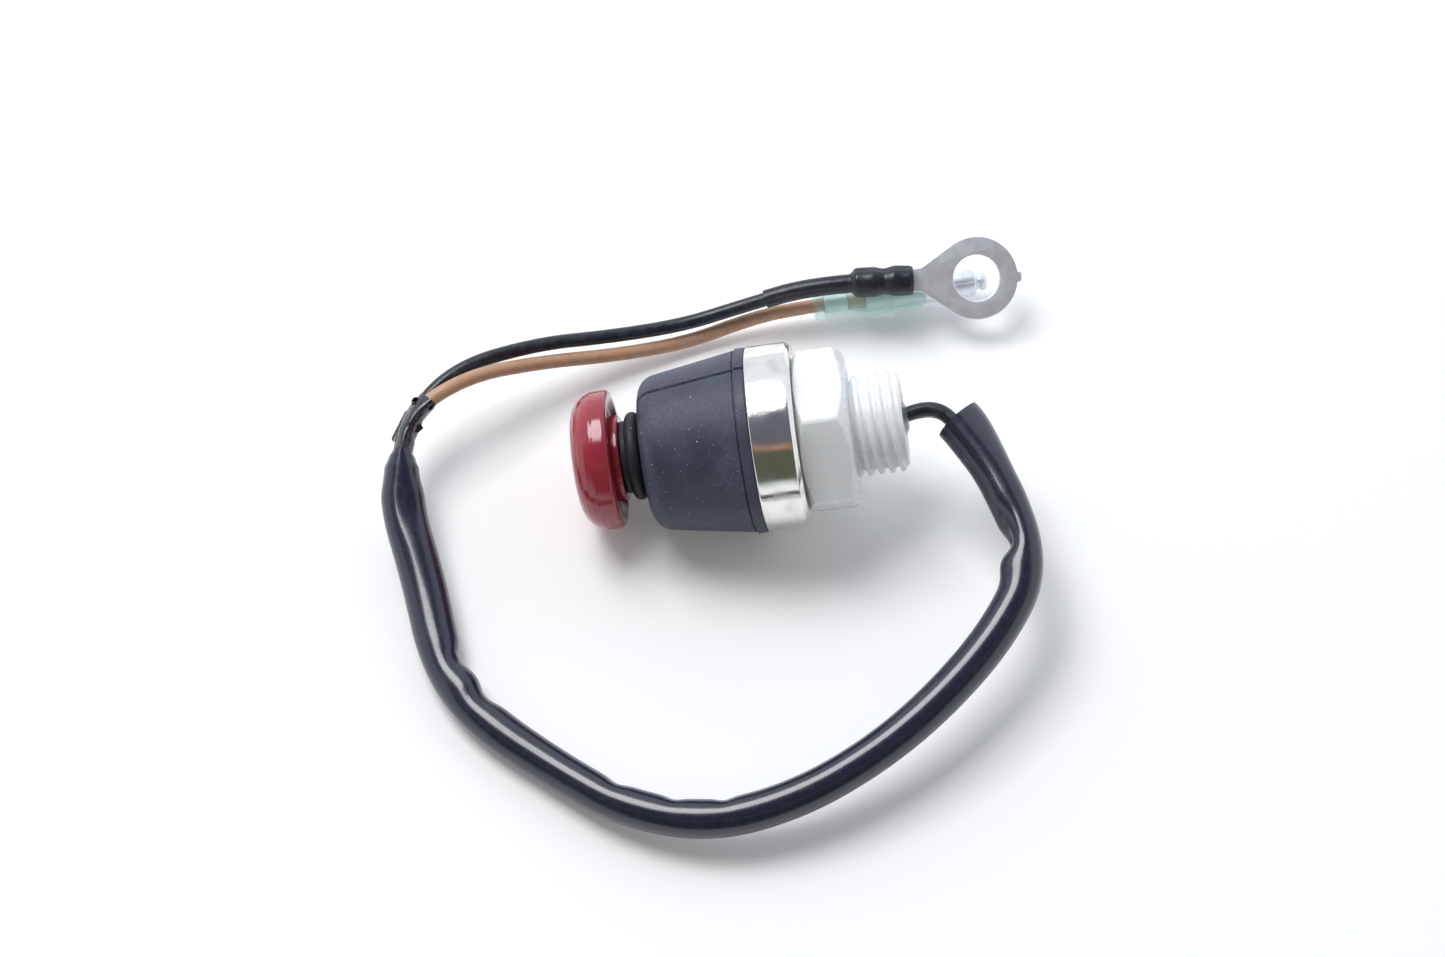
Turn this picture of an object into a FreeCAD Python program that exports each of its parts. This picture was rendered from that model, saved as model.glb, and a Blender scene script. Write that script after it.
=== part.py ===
import FreeCAD, Part
import math
import os

# Engine stop switch with a red pull knob, a threaded stem and a two-wire lead.
# Millimetres, +Z up. The switch lies on a flat surface at z = 0, on its knob and its plated ring.
# Along the switch, s is measured from the panel seat: the stem is at +s and the knob at -s.

Vector = FreeCAD.Vector

# Threaded stem and nut
THREAD_SIZE = 14.0
THREAD_ALLOWANCE = 0.05
STEM_LENGTH = 14.2
STEM_CHAMFER = 0.5
STEM_BORE = 9.8
RELIEF_DEPTH = 0.85
RELIEF_WIDTH = 1.2
NUT_INSET = 4.7
NUT_THICKNESS = 7.1
NUT_RUN_CLEARANCE = 0.05
NUT_INNER_CHAMFER = 0.4
NUT_OUTER_CHAMFER = 1.6
NUT_CHAMFER_ANGLE = 30.0
NUT_VERTEX_ANGLE = 23.6

# Plated ring cup
RING_STANDOUT = 3.85
RING_WIDTH = 6.2
RING_WALL = 0.75
RING_BACK = 0.8
RING_CHAMFER = 0.6
RING_EDGE = 0.3

# Nylon housing
BARREL_DIAMETER = 18.0
BARREL_WALL = 1.6
CHAMBER_FLOOR = 1.2
FLANGE_THICKNESS = 2.2

# Rubber cover
COVER_LENGTH = 15.4
COVER_FRONT_WALL = 1.6
COVER_TAPER = 4.4
COVER_BASE_INSET = 0.5
COVER_CORNER = 2.8
LIP_INSET = 0.1
LIP_WIDTH = 1.4
LIP_EDGE = 0.2

# Red knob
KNOB_DIAMETER = 19.3
KNOB_THICKNESS = 5.5
KNOB_CORNER = 3.6
KNOB_DOME = 0.4
KNOB_BACK_EDGE = 0.7
KNOB_RIM_WIDTH = 1.25
KNOB_RECESS = 0.8
COLLAR_DIAMETER = 11.85
COLLAR_STANDOUT = 0.95
COLLAR_EDGE = 0.25
FORK_GAP = 4.1

# Bellows between knob and cover
BELLOWS_NECK_DIAMETER = 8.4
BELLOWS_BORE = 5.8
BELLOWS_CUFF_DIAMETER = 10.0
BELLOWS_CUFF_WIDTH = 0.82
BELLOWS_CUFF_CLEARANCE = 0.3
FOLD_DIAMETER = 12.2
FOLD_WIDTH = 1.9
FOLD_WALL = 0.6
BELLOWS_FLANGE_DIAMETER = 10.6
BELLOWS_FLANGE_THICKNESS = 0.8

# Spindle, bush and cap
SPINDLE_DIAMETER = 3.0
SPINDLE_DEPTH_IN_KNOB = 4.2
SPINDLE_TIP_GAP = 0.15
BUSH_CLEARANCE = 0.05
BUSH_WALL = 1.0
BUSH_FLANGE_DIAMETER = 7.2
BUSH_FLANGE_THICKNESS = 0.6
CAP_THICKNESS = 3.0

# Contacts
BASE_THICKNESS = 1.8
CONTACT_OFFSET = 3.6
CONTACT_HEAD_DIAMETER = 2.6
CONTACT_HEAD_HEIGHT = 0.8
CONTACT_TAIL_DIAMETER = 1.4
CONTACT_TAIL_END = 3.0
BRIDGE_CLEARANCE = 1.8
BRIDGE_THICKNESS = 0.8
SPRING_SEAT_DIAMETER = 8.4
SPRING_SEAT_THICKNESS = 0.8
CLIP_DIAMETER = 4.0
CLIP_THICKNESS = 0.4
CLIP_GROOVE_DEPTH = 0.4
CLIP_MOUTH = 1.6
SPRING_WIRE = 0.6
SPRING_DIAMETER = 6.4
SPRING_TURNS = 6
SPRING_END_GAP = 0.05

# Resin in the stem's end
POTTING_DEPTH = 8.5
BLOB_DIAMETER = 5.4
BLOB_TOP_DIAMETER = 4.4
BLOB_HEIGHT = 0.7

# Wires and sleeve
WIRE_DIAMETER = 2.0
WIRE_SPACING = 2.12
SLEEVE_DIAMETER = 5.4
SLEEVE_WALL = 0.45
SLEEVE_END_SHARE = 0.58
TAPE_THICKNESS = 0.45
TAPE_STRAIGHT = 0.2
TAPE_SECTIONS = 6
BEND_SHARE = 0.45

# The wires' twist along the lead, in radians from the black wire lying on top
TWIST_START = -0.5
TWIST_END = math.pi

# Where each wire leaves the stem, sideways and up from its axis
BLACK_EXIT = (-0.3, 0.9)
BROWN_EXIT = (0.9, -0.9)

# Route of the lead from the stem to the taped end, chosen by hand
LEAD_ROUTE = [
    (26.9, 1.9, 15.9),
    (30.0, -1.7, 15.3),
    (35.0, -10.0, 14.0),
    (37.5, -22.5, 12.5),
    (32.0, -31.5, 11.0),
    (23.5, -40.0, 9.5),
    (14.5, -46.5, 8.0),
    (4.0, -51.5, 6.5),
    (-7.5, -53.5, 5.0),
    (-19.0, -50.0, 3.8),
    (-28.0, -43.0, 2.7),
    (-37.5, -35.0, 2.7),
    (-42.5, -26.5, 2.7),
    (-44.5, -14.0, 4.0),
    (-47.5, -2.0, 6.5),
    (-46.0, 8.5, 9.5),
]

# Each wire's own route from the tape to its terminal, chosen by hand
BLACK_ROUTE = [
    (-39.2, 15.7, 10.6),
    (-27.5, 20.0, 8.9),
    (-17.0, 23.0, 5.0),
    (-6.5, 25.0, 3.8),
    (1.5, 26.4, 5.4),
    (13.2, 27.6, 8.7),
]
BROWN_ROUTE = [
    (-37.5, 13.5, 11.8),
    (-27.0, 18.0, 7.2),
    (-16.5, 20.7, 3.6),
    (-6.0, 23.5, 1.4),
    (3.0, 26.0, 2.7),
    (9.5, 27.1, 3.2),
]

# Ring terminal
RING_TERMINAL_DIAMETER = 11.9
RING_TERMINAL_HOLE = 6.6
RING_TERMINAL_THICKNESS = 0.8
RING_TERMINAL_CENTRE_X = 35.76
RING_TERMINAL_HEADING = -0.03
RING_TERMINAL_ROLL = 35.0
NECK_WIDTH = 3.3
NECK_REACH = 8.0
BARREL_END = 9.2
BARREL_LENGTH = 8.3
BARREL_OUTER = 3.4
CONDUCTOR_CRIMP = 3.1
CRIMP_GAP = 1.4
CRIMP_STRIP_WIDTH = 2.0
TAB_WIDTH = 1.4
TAB_LENGTH = 0.5

# Heat-shrink tube
SHRINK_WALL = 0.5
SHRINK_END = 9.2
SHRINK_THICK_LENGTH = 9.0
SHRINK_THIN_WALL = 0.35
SHRINK_THIN_START_X = 5.6
SHRINK_SHOULDER = 0.9
SHRINK_LIP = 0.1

# Bullet terminal and its green sleeve, lying on the surface
BULLET_START_X = 12.5
BULLET_START_Y = 27.4
BULLET_HEADING = 0.1
BULLET_DIAMETER = 3.9
BULLET_WALL = 0.45
BULLET_TIP = 25.4
BULLET_BODY_START = 7.5
BULLET_CRIMP_DIAMETER = 3.5
BULLET_CRIMP_END = 15.85
BULLET_CRIMP_STEP = 0.2
BULLET_SHOULDER_LENGTH = 0.5
BULLET_GROOVE_START = 23.9
BULLET_GROOVE_WIDTH = 0.5
BULLET_GROOVE_DIAMETER = 2.0
BULLET_NOSE_DIAMETER = 2.5
BULLET_BORE_END = 20.0
GRIP_START = 1.5
GRIP_END = 4.8
GRIP_WALL = 0.4
WIRE_IN_BULLET = 9.0
GREEN_LENGTH = 15.8
GREEN_BACK_DIAMETER = 4.3
GREEN_WAIST_DIAMETER = 3.9
GREEN_WAIST_AT = 5.2
GREEN_BELLY_DIAMETER = 6.2
GREEN_BELLY_AT = 8.2
GREEN_FLANGE_DIAMETER = 6.4
GREEN_FLANGE_START = 10.3
GREEN_FLANGE_END = 11.5
GREEN_NOSE_DIAMETER = 4.9
GREEN_END_DIAMETER = 4.6
GREEN_FIT = 0.05

# Diameters that follow from the housing's barrel
CHAMBER_DIAMETER = BARREL_DIAMETER - 2 * BARREL_WALL
BRIDGE_DIAMETER = CHAMBER_DIAMETER - 2 * BRIDGE_CLEARANCE
RING_DIAMETER = BARREL_DIAMETER + 2 * RING_STANDOUT
COVER_BASE_DIAMETER = RING_DIAMETER - COVER_BASE_INSET
COVER_FRONT_DIAMETER = COVER_BASE_DIAMETER - COVER_TAPER
LIP_DIAMETER = RING_DIAMETER - LIP_INSET
NUT_ACROSS_FLATS = RING_DIAMETER - NUT_INSET
NUT_INNER_FACE = NUT_ACROSS_FLATS - NUT_INNER_CHAMFER
NUT_OUTER_FACE = NUT_ACROSS_FLATS - NUT_OUTER_CHAMFER

# Places along the switch that follow from the sizes
RING_FRONT_S = -RING_WIDTH
COVER_FRONT_S = RING_FRONT_S - COVER_LENGTH
BARREL_FRONT_S = COVER_FRONT_S + COVER_FRONT_WALL
KNOB_BACK_S = COVER_FRONT_S - FORK_GAP
COLLAR_END_S = KNOB_BACK_S + COLLAR_STANDOUT
KNOB_FRONT_S = KNOB_BACK_S - KNOB_THICKNESS
FLANGE_BACK_S = -RING_BACK
FLANGE_FRONT_S = FLANGE_BACK_S - FLANGE_THICKNESS
CHAMBER_BOTTOM_S = FLANGE_BACK_S - CHAMBER_FLOOR
BASE_FRONT_S = CHAMBER_BOTTOM_S - BASE_THICKNESS
BRIDGE_BACK_S = BASE_FRONT_S - CONTACT_HEAD_HEIGHT
BRIDGE_FRONT_S = BRIDGE_BACK_S - BRIDGE_THICKNESS
SPRING_END_S = BRIDGE_FRONT_S - SPRING_SEAT_THICKNESS
CAP_BACK_S = BARREL_FRONT_S + CAP_THICKNESS
SPRING_START_S = CAP_BACK_S + BUSH_FLANGE_THICKNESS
FLANGE_RADIUS = RING_DIAMETER / 2 - RING_WALL
STEM_RADIUS = THREAD_SIZE / 2 - THREAD_ALLOWANCE
SHOULDER_RADIUS = THREAD_SIZE / 2 + THREAD_ALLOWANCE
WIRE_RADIUS = WIRE_DIAMETER / 2
SPINDLE_RADIUS = SPINDLE_DIAMETER / 2


def resting_tilt():
    """Return the tilt in degrees at which the knob and the plated ring both touch the surface."""
    front_s = KNOB_FRONT_S + KNOB_CORNER
    front_r = KNOB_DIAMETER / 2 - KNOB_CORNER
    back_s = RING_FRONT_S + RING_EDGE
    back_r = RING_DIAMETER / 2 - RING_EDGE
    span = math.hypot(back_s - front_s, back_r - front_r)
    slope = math.atan2(back_r - front_r, back_s - front_s)
    return math.degrees(slope + math.asin((RING_EDGE - KNOB_CORNER) / span))


TILT = resting_tilt()
TILT_SIN = math.sin(math.radians(TILT))
TILT_COS = math.cos(math.radians(TILT))


def seat_height():
    """Return the height of the panel seat's centre above the surface."""
    edge_s = RING_FRONT_S + RING_EDGE
    edge_r = RING_DIAMETER / 2 - RING_EDGE
    return edge_r * TILT_COS + RING_EDGE - edge_s * TILT_SIN


def seat_offset():
    """Return where the panel seat's centre stands along X, with the switch centred on X = 0."""
    corner_s = KNOB_FRONT_S + KNOB_CORNER
    corner_r = KNOB_DIAMETER / 2 - KNOB_CORNER
    low = corner_s * TILT_COS - corner_r * TILT_SIN - KNOB_CORNER
    high = STEM_LENGTH * TILT_COS + (STEM_RADIUS - STEM_CHAMFER) * TILT_SIN
    return -(low + high) / 2


SEAT_PLACE = Vector(seat_offset(), 0, seat_height())


def on_switch(s, across, up):
    """Return the place in space of a point given along, across and up from the switch's axis."""
    return Vector(
        SEAT_PLACE.x + s * TILT_COS - up * TILT_SIN,
        across,
        SEAT_PLACE.z + s * TILT_SIN + up * TILT_COS,
    )


def place_on_switch(shape):
    """Turn a shape drawn along X to the switch's resting tilt and move it to its seat."""
    turn = FreeCAD.Rotation(Vector(0, 1, 0), -TILT)
    placed = shape.copy()
    placed.Placement = FreeCAD.Placement(SEAT_PLACE, turn).multiply(placed.Placement)
    return placed


def bend_edges(points, reaches, closed):
    """Return straight edges joined by tangent arcs; reaches gives each arc's tangent length."""
    count = len(points)
    edges = []
    starts = []
    ends = []
    for index in range(count):
        here = points[index]
        reach = reaches[index]
        if reach <= 0:
            starts.append(here)
            ends.append(here)
            continue
        back = (points[index - 1] - here).normalize()
        ahead = (points[(index + 1) % count] - here).normalize()
        starts.append(here + back * reach)
        ends.append(here + ahead * reach)
    for index in range(count):
        if reaches[index] > 0:
            here = points[index]
            half_turn = math.pi / 2 - (starts[index] - here).getAngle(ends[index] - here) / 2
            radius = reaches[index] / math.tan(half_turn)
            inward = ((starts[index] + ends[index]) * 0.5 - here).normalize()
            middle = here + inward * (radius / math.cos(half_turn) - radius)
            edges.append(Part.Arc(starts[index], middle, ends[index]).toShape())
        if index + 1 < count or closed:
            following = (index + 1) % count
            if ends[index].distanceToPoint(starts[following]) > 1e-6:
                edges.append(Part.makeLine(ends[index], starts[following]))
    return edges


def turned(profile):
    """Return the solid of a closed profile of (s, radius, corner radius) turned round the axis."""
    points = [Vector(item[0], 0, item[1]) for item in profile]
    radii = [item[2] if len(item) > 2 else 0 for item in profile]
    reaches = []
    for index, radius in enumerate(radii):
        if radius <= 0:
            reaches.append(0)
            continue
        back = points[index - 1] - points[index]
        ahead = points[(index + 1) % len(points)] - points[index]
        half_turn = math.pi / 2 - back.getAngle(ahead) / 2
        reaches.append(radius * math.tan(half_turn))
    face = Part.Face(Part.Wire(bend_edges(points, reaches, True)))
    return face.revolve(Vector(0, 0, 0), Vector(1, 0, 0), 360)


def cylinder(start_s, end_s, radius, across=0.0, up=0.0):
    """Return a round bar along the axis, between two places, set off from the axis if asked."""
    return Part.makeCylinder(radius, end_s - start_s, Vector(start_s, across, up), Vector(1, 0, 0))


def red_knob():
    """Mushroom knob: rolled front, dished back, collar and blind bore, as one moulding."""
    radius = KNOB_DIAMETER / 2
    collar = COLLAR_DIAMETER / 2
    rim_inner = radius - KNOB_RIM_WIDTH
    recess_s = KNOB_BACK_S - KNOB_RECESS
    front_r = radius - KNOB_CORNER
    bore_end = COLLAR_END_S - SPINDLE_DEPTH_IN_KNOB
    band = [
        Vector(KNOB_FRONT_S, 0, front_r),
        Vector(KNOB_FRONT_S - KNOB_DOME * 0.75, 0, front_r / 2),
        Vector(KNOB_FRONT_S - KNOB_DOME, 0, 0),
    ]
    corner_mid = Vector(
        KNOB_FRONT_S + KNOB_CORNER * (1 - math.sqrt(0.5)), 0, front_r + KNOB_CORNER * math.sqrt(0.5)
    )
    edge_start = Vector(KNOB_BACK_S - KNOB_BACK_EDGE, 0, radius)
    edge_end = Vector(KNOB_BACK_S, 0, radius - KNOB_BACK_EDGE)
    edge_mid = Vector(
        KNOB_BACK_S - KNOB_BACK_EDGE * (1 - math.sqrt(0.5)), 0, radius - KNOB_BACK_EDGE * (1 - math.sqrt(0.5))
    )
    corner_end = Vector(KNOB_FRONT_S + KNOB_CORNER, 0, radius)
    inner = [
        edge_end,
        Vector(KNOB_BACK_S, 0, rim_inner),
        Vector(recess_s, 0, rim_inner - KNOB_RECESS),
        Vector(recess_s, 0, collar),
        Vector(COLLAR_END_S - COLLAR_EDGE, 0, collar),
        Vector(COLLAR_END_S, 0, collar - COLLAR_EDGE),
        Vector(COLLAR_END_S, 0, SPINDLE_RADIUS),
        Vector(bore_end, 0, SPINDLE_RADIUS),
        Vector(bore_end, 0, 0),
        band[2],
    ]
    edges = [
        Part.Arc(band[2], band[1], band[0]).toShape(),
        Part.Arc(band[0], corner_mid, corner_end).toShape(),
        Part.makeLine(corner_end, edge_start),
        Part.Arc(edge_start, edge_mid, edge_end).toShape(),
    ]
    for start, end in zip(inner[:-1], inner[1:]):
        edges.append(Part.makeLine(start, end))
    face = Part.Face(Part.Wire(edges))
    return face.revolve(Vector(0, 0, 0), Vector(1, 0, 0), 360)


def bellows_seal():
    """Rubber bellows: clamped base flange, neck through the cover, one fold and a cuff."""
    neck = BELLOWS_NECK_DIAMETER / 2
    bore = BELLOWS_BORE / 2
    cuff = BELLOWS_CUFF_DIAMETER / 2
    fold = FOLD_DIAMETER / 2
    flange = BELLOWS_FLANGE_DIAMETER / 2
    cuff_bore = SPINDLE_RADIUS + BELLOWS_CUFF_CLEARANCE
    fold_front = COLLAR_END_S + BELLOWS_CUFF_WIDTH
    fold_back = fold_front + FOLD_WIDTH
    flange_back = BARREL_FRONT_S + BELLOWS_FLANGE_THICKNESS
    fold_round = FOLD_WIDTH / 2 - 0.01
    hollow_round = (FOLD_WIDTH - 2 * FOLD_WALL) / 2 - 0.01
    return turned([
        (flange_back, bore),
        (flange_back, flange),
        (BARREL_FRONT_S, flange),
        (BARREL_FRONT_S, neck),
        (fold_back, neck),
        (fold_back, fold, fold_round),
        (fold_front, fold, fold_round),
        (fold_front, cuff),
        (COLLAR_END_S, cuff, BELLOWS_CUFF_WIDTH / 3),
        (COLLAR_END_S, cuff_bore),
        (fold_front, cuff_bore),
        (fold_front + FOLD_WALL, bore),
        (fold_front + FOLD_WALL, fold - FOLD_WALL, hollow_round),
        (fold_back - FOLD_WALL, fold - FOLD_WALL, hollow_round),
        (fold_back - FOLD_WALL, bore),
    ])


def rubber_cover():
    """Conical rubber cap with a rounded front, a lip against the ring and a clamped foot."""
    barrel = BARREL_DIAMETER / 2
    hole = BELLOWS_NECK_DIAMETER / 2
    lip_s = RING_FRONT_S - LIP_WIDTH
    return turned([
        (COVER_FRONT_S, hole),
        (COVER_FRONT_S, COVER_FRONT_DIAMETER / 2, COVER_CORNER),
        (lip_s, COVER_BASE_DIAMETER / 2),
        (lip_s, LIP_DIAMETER / 2),
        (RING_FRONT_S, LIP_DIAMETER / 2, LIP_EDGE),
        (RING_FRONT_S, FLANGE_RADIUS),
        (FLANGE_FRONT_S, FLANGE_RADIUS),
        (FLANGE_FRONT_S, barrel),
        (BARREL_FRONT_S, barrel),
        (BARREL_FRONT_S, hole),
    ])


def clamp_ring():
    """Plated metal cup: round band, chamfered back edge and a back plate with the stem's hole."""
    outer = RING_DIAMETER / 2
    return turned([
        (RING_FRONT_S, FLANGE_RADIUS),
        (RING_FRONT_S, outer, RING_EDGE),
        (-RING_CHAMFER, outer),
        (0, outer - RING_CHAMFER),
        (0, SHOULDER_RADIUS),
        (FLANGE_BACK_S, SHOULDER_RADIUS),
        (FLANGE_BACK_S, FLANGE_RADIUS),
    ])


def housing():
    """Nylon body: contact barrel, clamped flange, shoulder and threaded stem with a through bore."""
    chamber = CHAMBER_DIAMETER / 2
    barrel = BARREL_DIAMETER / 2
    relief = STEM_RADIUS - RELIEF_DEPTH
    relief_end = RELIEF_WIDTH
    return turned([
        (BARREL_FRONT_S, chamber),
        (BARREL_FRONT_S, barrel),
        (FLANGE_FRONT_S, barrel),
        (FLANGE_FRONT_S, FLANGE_RADIUS),
        (FLANGE_BACK_S, FLANGE_RADIUS),
        (FLANGE_BACK_S, SHOULDER_RADIUS),
        (0, SHOULDER_RADIUS),
        (0, relief),
        (relief_end, relief),
        (relief_end + RELIEF_DEPTH, STEM_RADIUS),
        (STEM_LENGTH - STEM_CHAMFER, STEM_RADIUS),
        (STEM_LENGTH, STEM_RADIUS - STEM_CHAMFER),
        (STEM_LENGTH, STEM_BORE / 2),
        (CHAMBER_BOTTOM_S, STEM_BORE / 2),
        (CHAMBER_BOTTOM_S, chamber),
    ])


def mounting_nut():
    """Hexagon nut with both faces chamfered and a smooth bore that clears the stem."""
    corner = NUT_ACROSS_FLATS / 2 / math.cos(math.radians(30))
    vertices = []
    for index in range(7):
        angle = math.radians(NUT_VERTEX_ANGLE + 60 * index)
        vertices.append(Vector(0, -corner * math.sin(angle), corner * math.cos(angle)))
    prism = Part.Face(Part.makePolygon(vertices)).extrude(Vector(NUT_THICKNESS, 0, 0))
    slope = math.tan(math.radians(NUT_CHAMFER_ANGLE))
    inner_cut = (corner - NUT_INNER_FACE / 2) * slope
    outer_cut = (corner - NUT_OUTER_FACE / 2) * slope
    bore = THREAD_SIZE / 2 - THREAD_ALLOWANCE + NUT_RUN_CLEARANCE
    blank = turned([
        (0, bore),
        (0, NUT_INNER_FACE / 2),
        (inner_cut, corner),
        (NUT_THICKNESS - outer_cut, corner),
        (NUT_THICKNESS, NUT_OUTER_FACE / 2),
        (NUT_THICKNESS, bore),
    ])
    return prism.common(blank)


def chamber_cap():
    """Nylon disc that closes the chamber, with a seat for the bellows flange and the bush's hole."""
    return turned([
        (BARREL_FRONT_S, BELLOWS_FLANGE_DIAMETER / 2),
        (BARREL_FRONT_S, CHAMBER_DIAMETER / 2),
        (CAP_BACK_S, CHAMBER_DIAMETER / 2),
        (CAP_BACK_S, SPINDLE_RADIUS + BUSH_CLEARANCE + BUSH_WALL),
        (BARREL_FRONT_S + BELLOWS_FLANGE_THICKNESS, SPINDLE_RADIUS + BUSH_CLEARANCE + BUSH_WALL),
        (BARREL_FRONT_S + BELLOWS_FLANGE_THICKNESS, BELLOWS_FLANGE_DIAMETER / 2),
    ])


def guide_bush():
    """Brass bush with a flange inside the chamber; the spindle runs in it."""
    bore = SPINDLE_RADIUS + BUSH_CLEARANCE
    return turned([
        (BARREL_FRONT_S + BELLOWS_FLANGE_THICKNESS, bore),
        (BARREL_FRONT_S + BELLOWS_FLANGE_THICKNESS, bore + BUSH_WALL),
        (CAP_BACK_S, bore + BUSH_WALL),
        (CAP_BACK_S, BUSH_FLANGE_DIAMETER / 2),
        (SPRING_START_S, BUSH_FLANGE_DIAMETER / 2),
        (SPRING_START_S, bore),
    ])


def spindle():
    """Steel rod from the knob's bore to the bridge, with the clip's groove near its end."""
    groove = SPINDLE_RADIUS - CLIP_GROOVE_DEPTH
    tip = BASE_FRONT_S - SPINDLE_TIP_GAP
    clip_end = BRIDGE_BACK_S + CLIP_THICKNESS
    return turned([
        (COLLAR_END_S - SPINDLE_DEPTH_IN_KNOB, 0),
        (COLLAR_END_S - SPINDLE_DEPTH_IN_KNOB, SPINDLE_RADIUS),
        (BRIDGE_BACK_S, SPINDLE_RADIUS),
        (BRIDGE_BACK_S, groove),
        (clip_end, groove),
        (clip_end, SPINDLE_RADIUS),
        (tip, SPINDLE_RADIUS),
        (tip, 0),
    ])


def retaining_clip():
    """Open spring clip in the spindle's groove."""
    outer = cylinder(BRIDGE_BACK_S, BRIDGE_BACK_S + CLIP_THICKNESS, CLIP_DIAMETER / 2)
    inner = cylinder(BRIDGE_BACK_S, BRIDGE_BACK_S + CLIP_THICKNESS, SPINDLE_RADIUS - CLIP_GROOVE_DEPTH)
    mouth = Part.makeBox(
        CLIP_THICKNESS, CLIP_MOUTH, CLIP_DIAMETER, Vector(BRIDGE_BACK_S, -CLIP_MOUTH / 2, -CLIP_DIAMETER)
    )
    return outer.cut(inner).cut(mouth)


def washer(start_s, thickness, diameter):
    """Return a flat ring round the spindle."""
    return turned([
        (start_s, SPINDLE_RADIUS),
        (start_s, diameter / 2),
        (start_s + thickness, diameter / 2),
        (start_s + thickness, SPINDLE_RADIUS),
    ])


def return_spring():
    """Round-wire coil spring round the spindle, between the bush's flange and its seat."""
    radius = (SPRING_DIAMETER - SPRING_WIRE) / 2
    start = SPRING_START_S + SPRING_WIRE / 2 + SPRING_END_GAP
    end = SPRING_END_S - SPRING_WIRE / 2 - SPRING_END_GAP
    helix = Part.makeHelix((end - start) / SPRING_TURNS, end - start, radius)
    section = Part.Wire(Part.makeCircle(SPRING_WIRE / 2, Vector(radius, 0, 0), Vector(0, 1, 0)))
    coil = Part.Wire(helix.Edges).makePipeShell([section], True, True)
    coil.rotate(Vector(0, 0, 0), Vector(0, 1, 0), 90)
    coil.translate(Vector(start, 0, 0))
    return coil


def contact_base():
    """Insulating disc on the chamber's floor, with a hole for each fixed contact's tail."""
    disc = cylinder(BASE_FRONT_S, CHAMBER_BOTTOM_S, CHAMBER_DIAMETER / 2)
    for side in (1, -1):
        hole = cylinder(BASE_FRONT_S, CHAMBER_BOTTOM_S, CONTACT_TAIL_DIAMETER / 2, 0, side * CONTACT_OFFSET)
        disc = disc.cut(hole)
    return disc


def fixed_contact(side):
    """Rivet contact: flat head in the chamber and a tail down the stem for its wire."""
    up = side * CONTACT_OFFSET
    head = cylinder(BRIDGE_BACK_S, BASE_FRONT_S, CONTACT_HEAD_DIAMETER / 2, 0, up)
    tail = cylinder(BASE_FRONT_S, CONTACT_TAIL_END, CONTACT_TAIL_DIAMETER / 2, 0, up)
    return head.fuse(tail).removeSplitter()


def run_lengths(points):
    """Return the distances between neighbouring points."""
    return [start.distanceToPoint(end) for start, end in zip(points[:-1], points[1:])]


def cord_reaches(points):
    """Return the tangent length at each point: a fixed share of the shorter run beside it."""
    runs = run_lengths(points)
    reaches = [0]
    for before, after in zip(runs[:-1], runs[1:]):
        reaches.append(BEND_SHARE * min(before, after))
    reaches.append(0)
    return reaches


def cord_line(points, reaches):
    """Return the wire of straight runs and tangent arcs through the points."""
    return Part.Wire(bend_edges(points, reaches, False))


def swept(line, points, diameter):
    """Return a round solid of the diameter along a line that starts along its first run."""
    heading = points[1] - points[0]
    circle = Part.Wire(Part.makeCircle(diameter / 2, points[0], heading))
    return line.makePipeShell([circle], True, False)


def report_cord(name, points, reaches, line, solid, section):
    """Print a cord's length, its bend radii and its volume against section times length."""
    radii = []
    for index in range(1, len(points) - 1):
        back = points[index - 1] - points[index]
        ahead = points[index + 1] - points[index]
        half_turn = math.pi / 2 - back.getAngle(ahead) / 2
        radii.append(round(reaches[index] / math.tan(half_turn), 1))
    expected = section * line.Length
    print(name, "length", round(line.Length, 1), "radii", radii)
    print(name, "volume", round(solid.Volume, 1), "section times length", round(expected, 1))


def frame_at(points, index):
    """Return the upward and sideways directions square to the route at one of its points."""
    back = points[index] - points[max(index - 1, 0)]
    ahead = points[min(index + 1, len(points) - 1)] - points[index]
    along = Vector(0, 0, 0)
    for part in (back, ahead):
        if part.Length > 0:
            along = along + part.normalize()
    along.normalize()
    side = Vector(0, 0, 1).cross(along).normalize()
    up = along.cross(side)
    return up, side


def twisted_route(points, sign):
    """Return the lead's points moved to one of two wires that twist round each other along it."""
    moved = []
    for index, point in enumerate(points):
        up, side = frame_at(points, index)
        angle = TWIST_START + (TWIST_END - TWIST_START) * index / (len(points) - 1)
        offset = up * math.cos(angle) + side * math.sin(angle)
        moved.append(point + offset * (sign * WIRE_SPACING / 2))
    return moved


def terminal_axis_point(x):
    """Return the place on the ring terminal's barrel axis at a given X."""
    last = Vector(*BLACK_ROUTE[-1])
    return Vector(x, last.y + (x - last.x) * RING_TERMINAL_HEADING, last.z)


def terminal_placement():
    """Return the placement of the ring terminal, drawn with its ring centre at the origin."""
    heading = math.degrees(math.atan(RING_TERMINAL_HEADING))
    turn = FreeCAD.Rotation(Vector(0, 0, 1), heading).multiply(
        FreeCAD.Rotation(Vector(1, 0, 0), RING_TERMINAL_ROLL)
    )
    plate_drop = (BARREL_OUTER - RING_TERMINAL_THICKNESS) / 2
    centre = terminal_axis_point(RING_TERMINAL_CENTRE_X) - turn.multVec(Vector(0, 0, plate_drop))
    return FreeCAD.Placement(centre, turn)


def bullet_point(along):
    """Return the place on the bullet's axis at a distance from its sleeve's back end."""
    heading = Vector(1, BULLET_HEADING, 0).normalize()
    return Vector(BULLET_START_X, BULLET_START_Y, GREEN_FLANGE_DIAMETER / 2) + heading * along


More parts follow.
